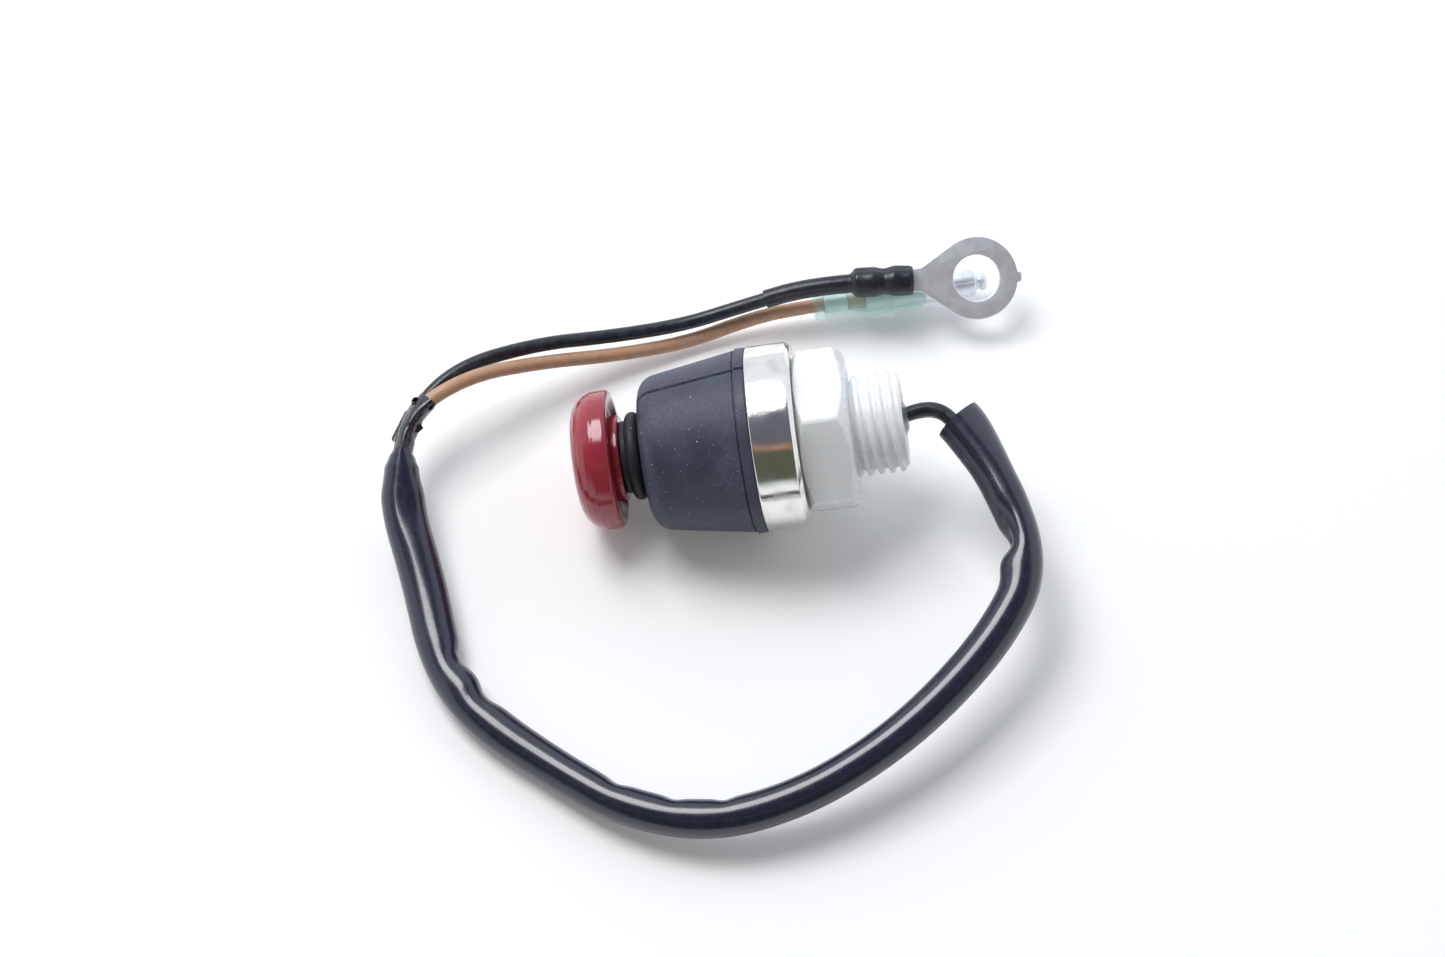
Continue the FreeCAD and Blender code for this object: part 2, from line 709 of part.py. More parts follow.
def place_on_bullet(shape):
    """Move a shape drawn along X to the bullet's axis."""
    turn = FreeCAD.Rotation(Vector(0, 0, 1), math.degrees(math.atan(BULLET_HEADING)))
    placed = shape.copy()
    placed.Placement = FreeCAD.Placement(bullet_point(0), turn).multiply(placed.Placement)
    return placed


def wire_points(side, leave, lead_sign, route, end):
    """Return a wire's points: contact tail, stem, lead and its own route to its terminal."""
    lead = [Vector(*point) for point in LEAD_ROUTE]
    inner = [
        on_switch(CONTACT_TAIL_END, 0, side * CONTACT_OFFSET),
        on_switch(STEM_LENGTH * 0.46, 0, side * CONTACT_OFFSET),
        on_switch(STEM_LENGTH * 0.85, leave[0], leave[1]),
    ]
    own = [Vector(*point) for point in route]
    return inner + twisted_route(lead, lead_sign) + own + [end]


def lead_line():
    """Return the sleeve's points and tangent lengths: the lead's, cut to the sleeve's two ends."""
    lead = [Vector(*point) for point in LEAD_ROUTE]
    reaches = cord_reaches(lead)
    mouth = (lead[0] + lead[1]) * 0.5
    end = lead[-2] + (lead[-1] - lead[-2]) * SLEEVE_END_SHARE
    return [mouth] + lead[1:-1] + [end], [0] + reaches[1:-1] + [0]


def crossing(line_points, place, heading):
    """Return the point of a line that lies nearest to the plane square to a heading at a place."""
    near = [point for point in line_points if point.distanceToPoint(place) < SLEEVE_DIAMETER]
    return min(near, key=lambda point: abs((point - place).dot(heading)))


def tape_solid(black, brown):
    """Return the outer form of the tape: an oval wrap close round both wires past the sleeve."""
    lead = [Vector(*point) for point in LEAD_ROUTE]
    start = lead[-2] + (lead[-1] - lead[-2]) * SLEEVE_END_SHARE
    corner = lead[-1]
    ahead = (Vector(*BLACK_ROUTE[0]) + Vector(*BROWN_ROUTE[0])) * 0.5
    run = start.distanceToPoint(corner)
    points = [start, corner, corner + (ahead - corner).normalize() * run]
    line = cord_line(points, [0, run - TAPE_STRAIGHT, 0])
    middle = line.discretize(TAPE_SECTIONS)
    wires = []
    for route in (black, brown):
        wires.append(cord_line(route, cord_reaches(route)).discretize(Distance=WIRE_RADIUS / 20))
    narrow = WIRE_RADIUS + TAPE_THICKNESS
    loops = []
    for index, place in enumerate(middle):
        if index == 0:
            heading = points[1] - points[0]
        elif index == len(middle) - 1:
            heading = points[2] - points[1]
        else:
            heading = middle[index + 1] - middle[index - 1]
        heading.normalize()
        ends = [crossing(wire, place, heading) for wire in wires]
        apart = ends[0] - ends[1]
        apart = apart - heading * apart.dot(heading)
        centre = (ends[0] + ends[1]) * 0.5
        centre = centre - heading * (centre - place).dot(heading)
        long_reach = apart.Length / 2 + narrow
        pair = apart.normalize()
        oval = Part.Ellipse(centre + pair * long_reach, centre + heading.cross(pair) * narrow, centre)
        loops.append(Part.Wire(oval.toShape()))
    return Part.makeLoft(loops, True, False)


def potting_plug():
    """Resin in the stem's bore with a low blob where the wires leave."""
    middle = ((BLACK_EXIT[0] + BROWN_EXIT[0]) / 2, (BLACK_EXIT[1] + BROWN_EXIT[1]) / 2)
    plug = cylinder(STEM_LENGTH - POTTING_DEPTH, STEM_LENGTH, STEM_BORE / 2)
    blob = Part.makeCone(
        BLOB_DIAMETER / 2,
        BLOB_TOP_DIAMETER / 2,
        BLOB_HEIGHT,
        Vector(STEM_LENGTH, middle[0], middle[1]),
        Vector(1, 0, 0),
    )
    return plug.fuse(blob)


def ring_terminal():
    """Ring, flared tongue, carrier tab and the two crimps of an open barrel, from one strip."""
    radius = RING_TERMINAL_DIAMETER / 2
    half_neck = NECK_WIDTH / 2
    thick = RING_TERMINAL_THICKNESS
    low = -thick / 2
    neck = Vector(-NECK_REACH, half_neck, low)
    reach = math.hypot(NECK_REACH, half_neck)
    swing = math.acos(radius / reach) + math.atan2(half_neck, -NECK_REACH)
    bearing = math.atan2(half_neck, -NECK_REACH) - math.acos(radius / reach)
    touch = Vector(radius * math.cos(bearing), radius * math.sin(bearing), low)
    if touch.y < 0:
        touch = Vector(radius * math.cos(swing), radius * math.sin(swing), low)
    plate = Part.Face(Part.makePolygon([
        Vector(-BARREL_END, half_neck, low),
        neck,
        touch,
        Vector(touch.x, -touch.y, low),
        Vector(neck.x, -neck.y, low),
        Vector(-BARREL_END, -half_neck, low),
        Vector(-BARREL_END, half_neck, low),
    ])).extrude(Vector(0, 0, thick))
    disc = Part.makeCylinder(radius, thick, Vector(0, 0, low))
    tab = Part.makeBox(TAB_LENGTH + 1, TAB_WIDTH, thick, Vector(radius - 1, -TAB_WIDTH / 2, low))
    hole = Part.makeCylinder(RING_TERMINAL_HOLE / 2, thick, Vector(0, 0, low))
    axis_up = (BARREL_OUTER - thick) / 2
    barrel_start = -BARREL_END - BARREL_LENGTH
    strip = Part.makeBox(BARREL_LENGTH, CRIMP_STRIP_WIDTH, thick, Vector(barrel_start, -CRIMP_STRIP_WIDTH / 2, low))
    conductor = cylinder(-BARREL_END - CONDUCTOR_CRIMP, -BARREL_END, BARREL_OUTER / 2, 0, axis_up)
    strip = strip.common(cylinder(barrel_start, -BARREL_END, BARREL_OUTER / 2, 0, axis_up))
    insulation_end = -BARREL_END - CONDUCTOR_CRIMP - CRIMP_GAP
    insulation = cylinder(barrel_start, insulation_end, BARREL_OUTER / 2, 0, axis_up)
    bore = cylinder(barrel_start, -BARREL_END, WIRE_RADIUS, 0, axis_up)
    body = disc.fuse([plate, tab, strip, conductor, insulation]).cut(hole).cut(bore)
    body = body.removeSplitter()
    body.Placement = terminal_placement()
    return body


def wire_end_in_ring():
    """Return where the black wire's cut end lies inside the conductor crimp."""
    return terminal_axis_point(RING_TERMINAL_CENTRE_X - BARREL_END - CRIMP_GAP)


def heat_shrink(line_points, reaches):
    """Shrunk tube: thick over the crimp barrel, then thin along the wire back to its start."""
    centre = terminal_axis_point(RING_TERMINAL_CENTRE_X)
    heading = Vector(1, RING_TERMINAL_HEADING, 0).normalize()
    inner = BARREL_OUTER / 2
    outer = inner + SHRINK_WALL
    thin = WIRE_RADIUS + SHRINK_THIN_WALL
    start = -SHRINK_END - SHRINK_THICK_LENGTH
    barrel_start = -BARREL_END - BARREL_LENGTH
    form = turned([
        (start, 0),
        (start, thin + SHRINK_LIP),
        (start + SHRINK_SHOULDER, outer, SHRINK_WALL / 2),
        (-SHRINK_END, outer, SHRINK_WALL / 3),
        (-SHRINK_END, 0),
    ])
    room = cylinder(-BARREL_END - BARREL_LENGTH, -SHRINK_END, inner)
    turn = FreeCAD.Rotation(Vector(1, 0, 0), heading)
    form.Placement = FreeCAD.Placement(centre, turn)
    room.Placement = FreeCAD.Placement(centre, turn)
    before, corner = line_points[-3], line_points[-2]
    share = (SHRINK_THIN_START_X - before.x) / (corner.x - before.x)
    first = before + (corner - before) * share
    outer_points = [first, corner, centre + heading * (start + SHRINK_SHOULDER / 2)]
    inner_points = [first, corner, centre - heading * (SHRINK_END + BARREL_LENGTH / 2)]
    bends = [0, reaches[-2], 0]
    thin_form = swept(cord_line(outer_points, bends), outer_points, 2 * thin)
    wire_way = swept(cord_line(inner_points, bends), inner_points, WIRE_DIAMETER)
    return form.fuse(thin_form).cut([room, wire_way]).removeSplitter()


def bullet_terminal():
    """Rolled bullet with a slimmer crimp, a snap groove near its nose and a grip on the insulation."""
    radius = BULLET_DIAMETER / 2
    crimp = BULLET_CRIMP_DIAMETER / 2
    bore = radius - BULLET_WALL
    nose = BULLET_NOSE_DIAMETER / 2
    groove = BULLET_GROOVE_DIAMETER / 2
    groove_end = BULLET_GROOVE_START + BULLET_GROOVE_WIDTH
    body = turned([
        (BULLET_BODY_START, bore),
        (BULLET_BODY_START, crimp),
        (BULLET_CRIMP_END, crimp),
        (BULLET_CRIMP_END + BULLET_CRIMP_STEP, radius),
        (BULLET_GROOVE_START - BULLET_SHOULDER_LENGTH, radius),
        (BULLET_GROOVE_START, groove),
        (groove_end, groove),
        (groove_end, nose),
        (BULLET_TIP, nose, nose / 2),
        (BULLET_TIP, 0),
        (BULLET_BORE_END, 0),
        (BULLET_BORE_END, bore),
    ])
    grip = turned([
        (GRIP_START, WIRE_RADIUS),
        (GRIP_START, WIRE_RADIUS + GRIP_WALL),
        (GRIP_END, WIRE_RADIUS + GRIP_WALL),
        (GRIP_END, WIRE_RADIUS),
    ])
    bridge_end = BULLET_BODY_START + GRIP_WALL
    form = turned([
        (GRIP_END, WIRE_RADIUS),
        (GRIP_END, WIRE_RADIUS + GRIP_WALL),
        (GREEN_WAIST_AT, WIRE_RADIUS + GRIP_WALL),
        (BULLET_BODY_START, crimp),
        (bridge_end, crimp),
        (bridge_end, WIRE_RADIUS),
    ])
    width = WIRE_DIAMETER * 0.8
    slab = Part.makeBox(bridge_end - GRIP_END, width, crimp, Vector(GRIP_END, -width / 2, -crimp))
    bridge = form.common(slab)
    return body.fuse([grip, bridge]).removeSplitter()


def bullet_sleeve():
    """Clear sleeve: grip end, waist, belly, flange and a slightly tapered nose."""
    grip = WIRE_RADIUS + GRIP_WALL
    bore = BULLET_DIAMETER / 2 + GREEN_FIT
    return turned([
        (0, WIRE_RADIUS + GREEN_FIT),
        (0, GREEN_BACK_DIAMETER / 2, 0.3),
        (GRIP_START, GREEN_BACK_DIAMETER / 2, 1.0),
        (GREEN_WAIST_AT, GREEN_WAIST_DIAMETER / 2, 1.0),
        (GREEN_BELLY_AT, GREEN_BELLY_DIAMETER / 2, 1.0),
        (GREEN_FLANGE_START, GREEN_FLANGE_DIAMETER / 2, 0.5),
        (GREEN_FLANGE_END, GREEN_FLANGE_DIAMETER / 2, 0.3),
        (GREEN_FLANGE_END + GREEN_FIT, GREEN_NOSE_DIAMETER / 2),
        (GREEN_LENGTH, GREEN_END_DIAMETER / 2, 0.15),
        (GREEN_LENGTH, bore),
        (BULLET_BODY_START - GREEN_FIT, bore),
        (GREEN_WAIST_AT, grip + GREEN_FIT),
        (GRIP_START - GREEN_FIT, grip + GREEN_FIT),
        (GRIP_START - GREEN_FIT, WIRE_RADIUS + GREEN_FIT),
    ])


def build_switch():
    """Return the switch's own pieces by name, in place."""
    pieces = {
        "red_knob": red_knob(),
        "bellows_seal": bellows_seal(),
        "rubber_cover": rubber_cover(),
        "clamp_ring": clamp_ring(),
        "housing": housing(),
        "mounting_nut": mounting_nut(),
        "chamber_cap": chamber_cap(),
        "guide_bush": guide_bush(),
        "spindle": spindle(),
        "retaining_clip": retaining_clip(),
        "contact_bridge": washer(BRIDGE_FRONT_S, BRIDGE_THICKNESS, BRIDGE_DIAMETER),
        "spring_seat": washer(SPRING_END_S, SPRING_SEAT_THICKNESS, SPRING_SEAT_DIAMETER),
        "return_spring": return_spring(),
        "contact_base": contact_base(),
        "fixed_contact_live": fixed_contact(-1),
        "fixed_contact_ground": fixed_contact(1),
        "potting_plug": potting_plug(),
    }
    return {name: place_on_switch(shape) for name, shape in pieces.items()}


def build_lead(pieces):
    """Add the wires, their sleeve, tape and terminals, and cut the wires' way through the resin."""
    black = wire_points(1, BLACK_EXIT, 1, BLACK_ROUTE, wire_end_in_ring())
    brown = wire_points(-1, BROWN_EXIT, -1, BROWN_ROUTE, bullet_point(WIRE_IN_BULLET))
    section = math.pi * WIRE_RADIUS ** 2
    for name, points in (("wire_black", black), ("wire_brown", brown)):
        reaches = cord_reaches(points)
        line = cord_line(points, reaches)
        pieces[name] = swept(line, points, WIRE_DIAMETER)
        report_cord(name, points, reaches, line, pieces[name], section)
    points, reaches = lead_line()
    line = cord_line(points, reaches)
    bore = SLEEVE_DIAMETER - 2 * SLEEVE_WALL
    pieces["lead_sleeve"] = swept(line, points, SLEEVE_DIAMETER).cut(swept(line, points, bore))
    sleeve_section = math.pi * (SLEEVE_DIAMETER ** 2 - bore ** 2) / 4
    report_cord("lead_sleeve", points, reaches, line, pieces["lead_sleeve"], sleeve_section)
    wires = [pieces["wire_black"], pieces["wire_brown"]]
    pieces["wrap_tape"] = tape_solid(black, brown).cut(wires)
    pieces["potting_plug"] = pieces["potting_plug"].cut(wires)
    pieces["ring_terminal"] = ring_terminal()
    pieces["heat_shrink"] = heat_shrink(black, cord_reaches(black))
    pieces["bullet_terminal"] = place_on_bullet(bullet_terminal())
    pieces["bullet_sleeve"] = place_on_bullet(bullet_sleeve())


def main():
    """Build every piece and write one file for each."""
    os.makedirs("parts", exist_ok=True)
    pieces = build_switch()
    build_lead(pieces)
    print("tilt", round(TILT, 3), "seat", SEAT_PLACE)
    for name, shape in pieces.items():
        solids = shape.Solids
        print(name, "solids", len(solids), "valid", shape.isValid(), "volume", round(shape.Volume, 2))
        kept = solids[0] if len(solids) == 1 else Part.makeCompound(solids)
        kept.exportStep("parts/" + name + ".step")


main()
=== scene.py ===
"""Engine stop switch on a pale table: red pull knob, threaded stem and a sleeved two-wire lead."""

import bisect
import logging
import math
from dataclasses import dataclass, field
from enum import Enum
from typing import Callable, Optional, Sequence, Union

import bmesh
import bpy
from mathutils import Matrix, Vector


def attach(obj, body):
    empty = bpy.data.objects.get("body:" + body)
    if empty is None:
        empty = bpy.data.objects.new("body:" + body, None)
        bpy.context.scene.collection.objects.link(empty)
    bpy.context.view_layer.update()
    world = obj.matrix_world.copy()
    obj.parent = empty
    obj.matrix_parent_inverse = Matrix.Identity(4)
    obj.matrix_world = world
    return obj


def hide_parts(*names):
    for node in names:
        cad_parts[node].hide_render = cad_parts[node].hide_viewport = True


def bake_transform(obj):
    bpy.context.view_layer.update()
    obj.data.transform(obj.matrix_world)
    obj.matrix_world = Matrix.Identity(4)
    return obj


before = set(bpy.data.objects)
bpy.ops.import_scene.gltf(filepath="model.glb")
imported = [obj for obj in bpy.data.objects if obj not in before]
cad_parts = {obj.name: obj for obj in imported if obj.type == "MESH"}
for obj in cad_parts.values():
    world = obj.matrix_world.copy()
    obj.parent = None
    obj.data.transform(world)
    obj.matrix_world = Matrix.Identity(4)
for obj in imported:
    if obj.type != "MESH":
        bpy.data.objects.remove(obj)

LOG = logging.getLogger("stop_switch")
MM = 0.001
FULL_TURN = 2.0 * math.pi
UP = Vector((0.0, 0.0, 1.0))

Pair = tuple[float, float]
Point = tuple[float, float, float]
Colour = tuple[float, float, float]
Corner = tuple[float, ...]
Relief = Callable[[float, float, float], float]
Section = Callable[[float, float], Pair]
Form = bmesh.types.BMesh
Mesh = bpy.types.Mesh
Piece = bpy.types.Object
Socket = bpy.types.NodeSocket


class Body(Enum):
    """The bodies that a piece can ride on."""

    SWITCH = "body"
    PLUNGER = "plunger"
    NUT = "nut"


class Slot(Enum):
    """The record's material slots."""

    RED_PLASTIC = "red_plastic"
    BLACK_RUBBER = "black_rubber"
    CHARCOAL_RUBBER = "charcoal_rubber"
    PLATED_METAL = "plated_metal"
    WHITE_NYLON = "white_nylon"
    CLEAR_RESIN = "clear_resin"
    BRASS = "brass"
    STEEL = "steel"
    BOARD = "insulating_board"
    BLACK_INSULATION = "black_insulation"
    BROWN_INSULATION = "brown_insulation"
    BLACK_VINYL = "black_vinyl"
    BLACK_TAPE = "black_tape"
    BLACK_SHRINK = "black_shrink"
    TINNED_METAL = "tinned_metal"
    GREEN_VINYL = "green_vinyl"


# Finishes


class NodeDesk:
    """The nodes of a material or of the world, with short calls for those that are shared."""

    def __init__(self, data: bpy.types.ID, shader: str = "Principled BSDF") -> None:
        """Start from the shader that comes with the data.

        Args:
            data: the material or the world.
            shader: the shader's name.
        """
        data.use_nodes = True
        self.data = data
        self.tree = data.node_tree
        self.shader = self.tree.nodes[shader]

    def plug(self, node: bpy.types.Node, values: dict) -> None:
        """Set a node's sockets, or link those whose value is an output.

        Args:
            node: the node.
            values: numbers, colours and outputs by the socket's name or number.
        """
        for key, value in values.items():
            target = node.inputs[key]
            if isinstance(value, Socket):
                self.tree.links.new(value, target)
            else:
                target.default_value = (*value, 1.0) if target.type == "RGBA" else value

    def add(self, kind: str, values: dict, output: Union[int, str] = 0, **settings: str) -> Socket:
        """Add a node.

        Args:
            kind: its type, without the part that all types share.
            values: what goes into its sockets.
            output: the output that is wanted.
            settings: its own settings.

        Returns:
            The output.
        """
        node = self.tree.nodes.new("ShaderNode" + kind)
        for name, value in settings.items():
            setattr(node, name, value)
        self.plug(node, values)
        return node.outputs[output]

    def place(self, stretch: Point = (1.0, 1.0, 1.0)) -> Socket:
        """Return the place on the piece in millimetres, divided by a stretch along X, Y and Z."""
        scale = [1.0 / (MM * part) for part in stretch]
        return self.add("VectorMath", {0: self.add("TexCoord", {}, "Object"), 1: scale}, operation="MULTIPLY")

    def noise(self, place: Socket, size_mm: float, detail: float = 3.0) -> Socket:
        """Return a cloudy pattern from 0 to 1, with large blotches of a size and finer layers."""
        return self.add("TexNoise", {"Vector": place, "Scale": 1.0 / size_mm, "Detail": detail}, "Fac")

    def spread(self, fac: Socket, low: float, high: float, start: float = 0.35, end: float = 0.65) -> Socket:
        """Return a pattern stretched so that start to end becomes low to high."""
        limits = {"Value": fac, "From Min": start, "From Max": end, "To Min": low, "To Max": high}
        return self.add("MapRange", limits, interpolation_type="SMOOTHSTEP")

    def tint(self, fac: Socket, first: Union[Colour, Socket], second: Union[Colour, Socket]) -> Socket:
        """Return a colour that goes from the first to the second with a pattern."""
        return self.add("Mix", {0: fac, 6: first, 7: second}, 2, data_type="RGBA")

    def relief(self, height: Socket, depth_mm: float) -> Socket:
        """Return a surface direction with a fine relief."""
        return self.add("Bump", {"Height": height, "Distance": depth_mm * MM})


@dataclass(frozen=True)
class Finish:
    """What every finish has: a name, the two colours it drifts between and a roughness."""

    name: str
    colour: Colour
    second: Colour
    roughness: float

    def sockets(self, desk: NodeDesk, place: Socket) -> dict:
        """Return what goes into the shader's sockets.

        Args:
            desk: the material's nodes.
            place: the place on the piece.

        Returns:
            Numbers, colours and outputs by the socket's name.
        """
        raise NotImplementedError(self.name)

    def drift(self, desk: NodeDesk, pattern: Socket, start: float = 0.35, end: float = 0.65) -> Socket:
        """Return the colour, which goes over to the second one where a pattern is high."""
        return desk.tint(desk.spread(pattern, 0.0, 1.0, start, end), self.colour, self.second)

    def rough(
        self, desk: NodeDesk, pattern: Socket, more: float, start: float = 0.35, end: float = 0.65
    ) -> Socket:
        """Return the roughness, raised where a pattern is high."""
        return desk.spread(pattern, self.roughness, self.roughness + more, start, end)

    def material(self) -> bpy.types.Material:
        """Return the material.

        Returns:
            The material, with all its nodes.
        """
        desk = NodeDesk(bpy.data.materials.new(self.name))
        desk.plug(desk.shader, self.sockets(desk, desk.place()))
        return desk.data


@dataclass(frozen=True)
class MouldedPlastic(Finish):
    """A moulded plastic, a little uneven in colour, with a faint grain and light wear."""

    wear: float = 0.1
    cloud_mm: float = 6.0
    scuff_mm: float = 0.9
    scuff_stretch: Point = (5.0, 1.0, 1.0)
    grain_mm: float = 0.5
    grain_depth_mm: float = 0.006
    coat: float = 0.0
    coat_roughness: float = 0.08
    glow: float = 0.0
    glow_colour: Colour = (0.85, 0.92, 1.0)
    glow_reach_mm: float = 1.0

    def sockets(self, desk: NodeDesk, place: Socket) -> dict:
        """Return what goes into the shader's sockets.

        Args:
            desk: the material's nodes.
            place: the place on the piece.

        Returns:
            Numbers, colours and outputs by the socket's name.
        """
        scuffs = desk.noise(desk.place(self.scuff_stretch), self.scuff_mm, 5.0)
        return {
            "Base Color": self.drift(desk, desk.noise(place, self.cloud_mm, 4.0)),
            "Roughness": self.rough(desk, scuffs, self.wear, 0.45, 0.75),
            "Normal": desk.relief(desk.noise(place, self.grain_mm, 2.0), self.grain_depth_mm),
            "Coat Weight": self.coat, "Coat Roughness": self.coat_roughness, "Subsurface Weight": self.glow,
            "Subsurface Radius": self.glow_colour, "Subsurface Scale": self.glow_reach_mm * MM
        }


@dataclass(frozen=True)
class DustyRubber(Finish):
    """A moulded rubber with fine grain and pale dust, the second colour, thicker in patches."""

    dust_share: float = 0.3
    patch_mm: float = 5.0
    speck_mm: float = 0.35
    grain_mm: float = 0.25
    grain_depth_mm: float = 0.02
    lint: Colour = (0.5, 0.5, 0.52)
    lint_mm: float = 0.28
    gloss: float = 0.4

    def sockets(self, desk: NodeDesk, place: Socket) -> dict:
        """Return what goes into the shader's sockets.

        Args:
            desk: the material's nodes.
            place: the place on the piece.

        Returns:
            Numbers, colours and outputs by the socket's name.
        """
        patches = desk.noise(place, self.patch_mm, 6.0)
        specks = desk.spread(desk.noise(place, self.speck_mm), 0.4 * self.dust_share, self.dust_share)
        patchy = desk.spread(patches, 0.15, 1.0, 0.35, 0.75)
        dust = desk.add("Math", {0: patchy, 1: specks}, operation="MULTIPLY")
        lint = desk.spread(desk.noise(place, self.lint_mm, 1.0), 0.0, 1.0, 0.73, 0.78)
        return {
            "Base Color": desk.tint(lint, desk.tint(dust, self.colour, self.second), self.lint),
            "Roughness": self.rough(desk, patches, 0.15),
            "Normal": desk.relief(desk.noise(place, self.grain_mm, 2.0), self.grain_depth_mm),
            "Specular IOR Level": self.gloss
        }


@dataclass(frozen=True)
class WornMetal(Finish):
    """A metal surface with stains, the second colour, a soft haze and fine marks."""

    haze: float = 0.15
    stain_mm: float = 2.0
    mark_mm: float = 0.12
    mark_stretch: Point = (1.0, 6.0, 6.0)
    mark_depth_mm: float = 0.004
    metal: float = 1.0

    def sockets(self, desk: NodeDesk, place: Socket) -> dict:
        """Return what goes into the shader's sockets.

        Args:
            desk: the material's nodes.
            place: the place on the piece.

        Returns:
            Numbers, colours and outputs by the socket's name.
        """
        stains = desk.noise(place, self.stain_mm, 5.0)
        return {
            "Base Color": self.drift(desk, stains, 0.45, 0.75), "Metallic": self.metal,
            "Roughness": self.rough(desk, stains, self.haze, 0.35, 0.7),
            "Normal": desk.relief(desk.noise(desk.place(self.mark_stretch), self.mark_mm), self.mark_depth_mm)
        }


@dataclass(frozen=True)
class SoftVinyl(Finish):
    """A soft extruded plastic: even colour, long faint ripples and light scuffs."""

    scuff: float = 0.12
    ripple_mm: float = 1.4
    ripple_depth_mm: float = 0.02
    scuff_mm: float = 1.1
    coat: float = 0.0
    coat_roughness: float = 0.05

    def sockets(self, desk: NodeDesk, place: Socket) -> dict:
        """Return what goes into the shader's sockets.

        Args:
            desk: the material's nodes.
            place: the place on the piece.

        Returns:
            Numbers, colours and outputs by the socket's name.
        """
        scuffs = desk.noise(place, self.scuff_mm, 6.0)
        return {
            "Base Color": self.drift(desk, scuffs, 0.4, 0.7),
            "Roughness": self.rough(desk, scuffs, self.scuff, 0.4, 0.75),
            "Normal": desk.relief(desk.noise(place, self.ripple_mm, 2.0), self.ripple_depth_mm),
            "Coat Weight": self.coat, "Coat Roughness": self.coat_roughness
        }


@dataclass(frozen=True)
class ClearPlastic(Finish):
    """A see-through plastic with a tint and slight waves in its surface."""

    clearness: float = 0.5
    wave_mm: float = 1.5
    wave_depth_mm: float = 0.05
    alpha: float = 1.0
    bending: float = 1.45

    def sockets(self, desk: NodeDesk, place: Socket) -> dict:
        """Return what goes into the shader's sockets.

        Args:
            desk: the material's nodes.
            place: the place on the piece.

        Returns:
            Numbers, colours and outputs by the socket's name.
        """
        waves = desk.noise(place, self.wave_mm, 2.0)
        return {
            "Base Color": self.drift(desk, waves), "Roughness": self.rough(desk, waves, 0.08),
            "Transmission Weight": self.clearness, "Alpha": self.alpha, "IOR": self.bending,
            "Normal": desk.relief(waves, self.wave_depth_mm)
        }


def all_finishes() -> dict[Slot, bpy.types.Material]:
    """Return every slot's material.

    Returns:
        The materials by slot.
    """
    finishes = {
        Slot.RED_PLASTIC: MouldedPlastic(
            "red_knob_plastic", (0.31, 0.025, 0.042), (0.37, 0.031, 0.05), 0.13, coat=0.35
        ),
        Slot.BLACK_RUBBER: DustyRubber("bellows_rubber", (0.02, 0.021, 0.028), (0.08, 0.085, 0.1), 0.5),
        Slot.CHARCOAL_RUBBER: DustyRubber(
            "cover_rubber", (0.043, 0.049, 0.075), (0.17, 0.195, 0.28), 0.42, 0.36
        ),
        Slot.PLATED_METAL: WornMetal("ring_plating", (0.88, 0.87, 0.84), (0.72, 0.7, 0.66), 0.1, 0.1, 3.0),
        Slot.WHITE_NYLON: MouldedPlastic(
            "milky_nylon", (0.95, 0.98, 1.0), (0.92, 0.955, 0.99), 0.26, 0.03, grain_depth_mm=0.0008,
            glow=0.5, glow_reach_mm=2.0
        ),
        Slot.CLEAR_RESIN: ClearPlastic("clear_resin", (0.8, 0.82, 0.84), (0.9, 0.9, 0.9), 0.1, 0.75),
        Slot.BRASS: WornMetal("turned_brass", (0.72, 0.53, 0.25), (0.5, 0.34, 0.15), 0.3),
        Slot.STEEL: WornMetal("ground_steel", (0.55, 0.55, 0.56), (0.4, 0.39, 0.38), 0.28),
        Slot.BOARD: MouldedPlastic("pressed_board", (0.24, 0.12, 0.055), (0.17, 0.08, 0.035), 0.6),
        Slot.BLACK_INSULATION: SoftVinyl(
            "black_insulation", (0.014, 0.017, 0.026), (0.028, 0.034, 0.046), 0.3, 0.16
        ),
        Slot.BROWN_INSULATION: SoftVinyl("tan_insulation", (0.55, 0.32, 0.2), (0.48, 0.28, 0.175), 0.36, 0.2),
        Slot.BLACK_VINYL: SoftVinyl(
            "black_sleeve_vinyl", (0.012, 0.014, 0.032), (0.016, 0.019, 0.042), 0.24, 0.05, 3.0, coat=0.6,
            coat_roughness=0.12
        ),
        Slot.BLACK_TAPE: SoftVinyl(
            "black_tape_vinyl", (0.018, 0.02, 0.028), (0.04, 0.043, 0.055), 0.2, 0.25, 0.9, 0.07, coat=0.3
        ),
        Slot.BLACK_SHRINK: SoftVinyl(
            "shrunk_tube", (0.014, 0.015, 0.024), (0.022, 0.024, 0.036), 0.3, 0.12, 1.6, 0.05
        ),
        Slot.TINNED_METAL: WornMetal(
            "dull_tin", (0.92, 0.95, 1.0), (0.78, 0.81, 0.86), 0.42, 0.14, 1.2, metal=0.8
        ),
        Slot.GREEN_VINYL: ClearPlastic(
            "mint_vinyl", (0.76, 1.0, 0.92), (0.66, 0.98, 0.87), 0.1, 0.5, 1.6, 0.03, alpha=0.42
        )
    }
    return {slot: finish.material() for slot, finish in finishes.items()}


# Mesh making, all sizes in millimetres


class Ends(Enum):
    """What becomes of the first and the last ring of a form."""

    JOINED = "joined"
    CAPPED = "capped"
    OPEN = "open"


def linked(name: str, data: bpy.types.ID) -> Piece:
    """Return a new object in the scene.

    Args:
        name: the object's name.
        data: its mesh, curve, camera or lamp.

    Returns:
        The object.
    """
    made = bpy.data.objects.new(name, data)
    bpy.context.collection.objects.link(made)
    return made


def ring_point(place: float, radius: float, angle: float) -> Vector:
    """Return a point round the X axis, its angle running from the top towards +Y."""
    return Vector((place, radius * math.sin(angle), radius * math.cos(angle)))


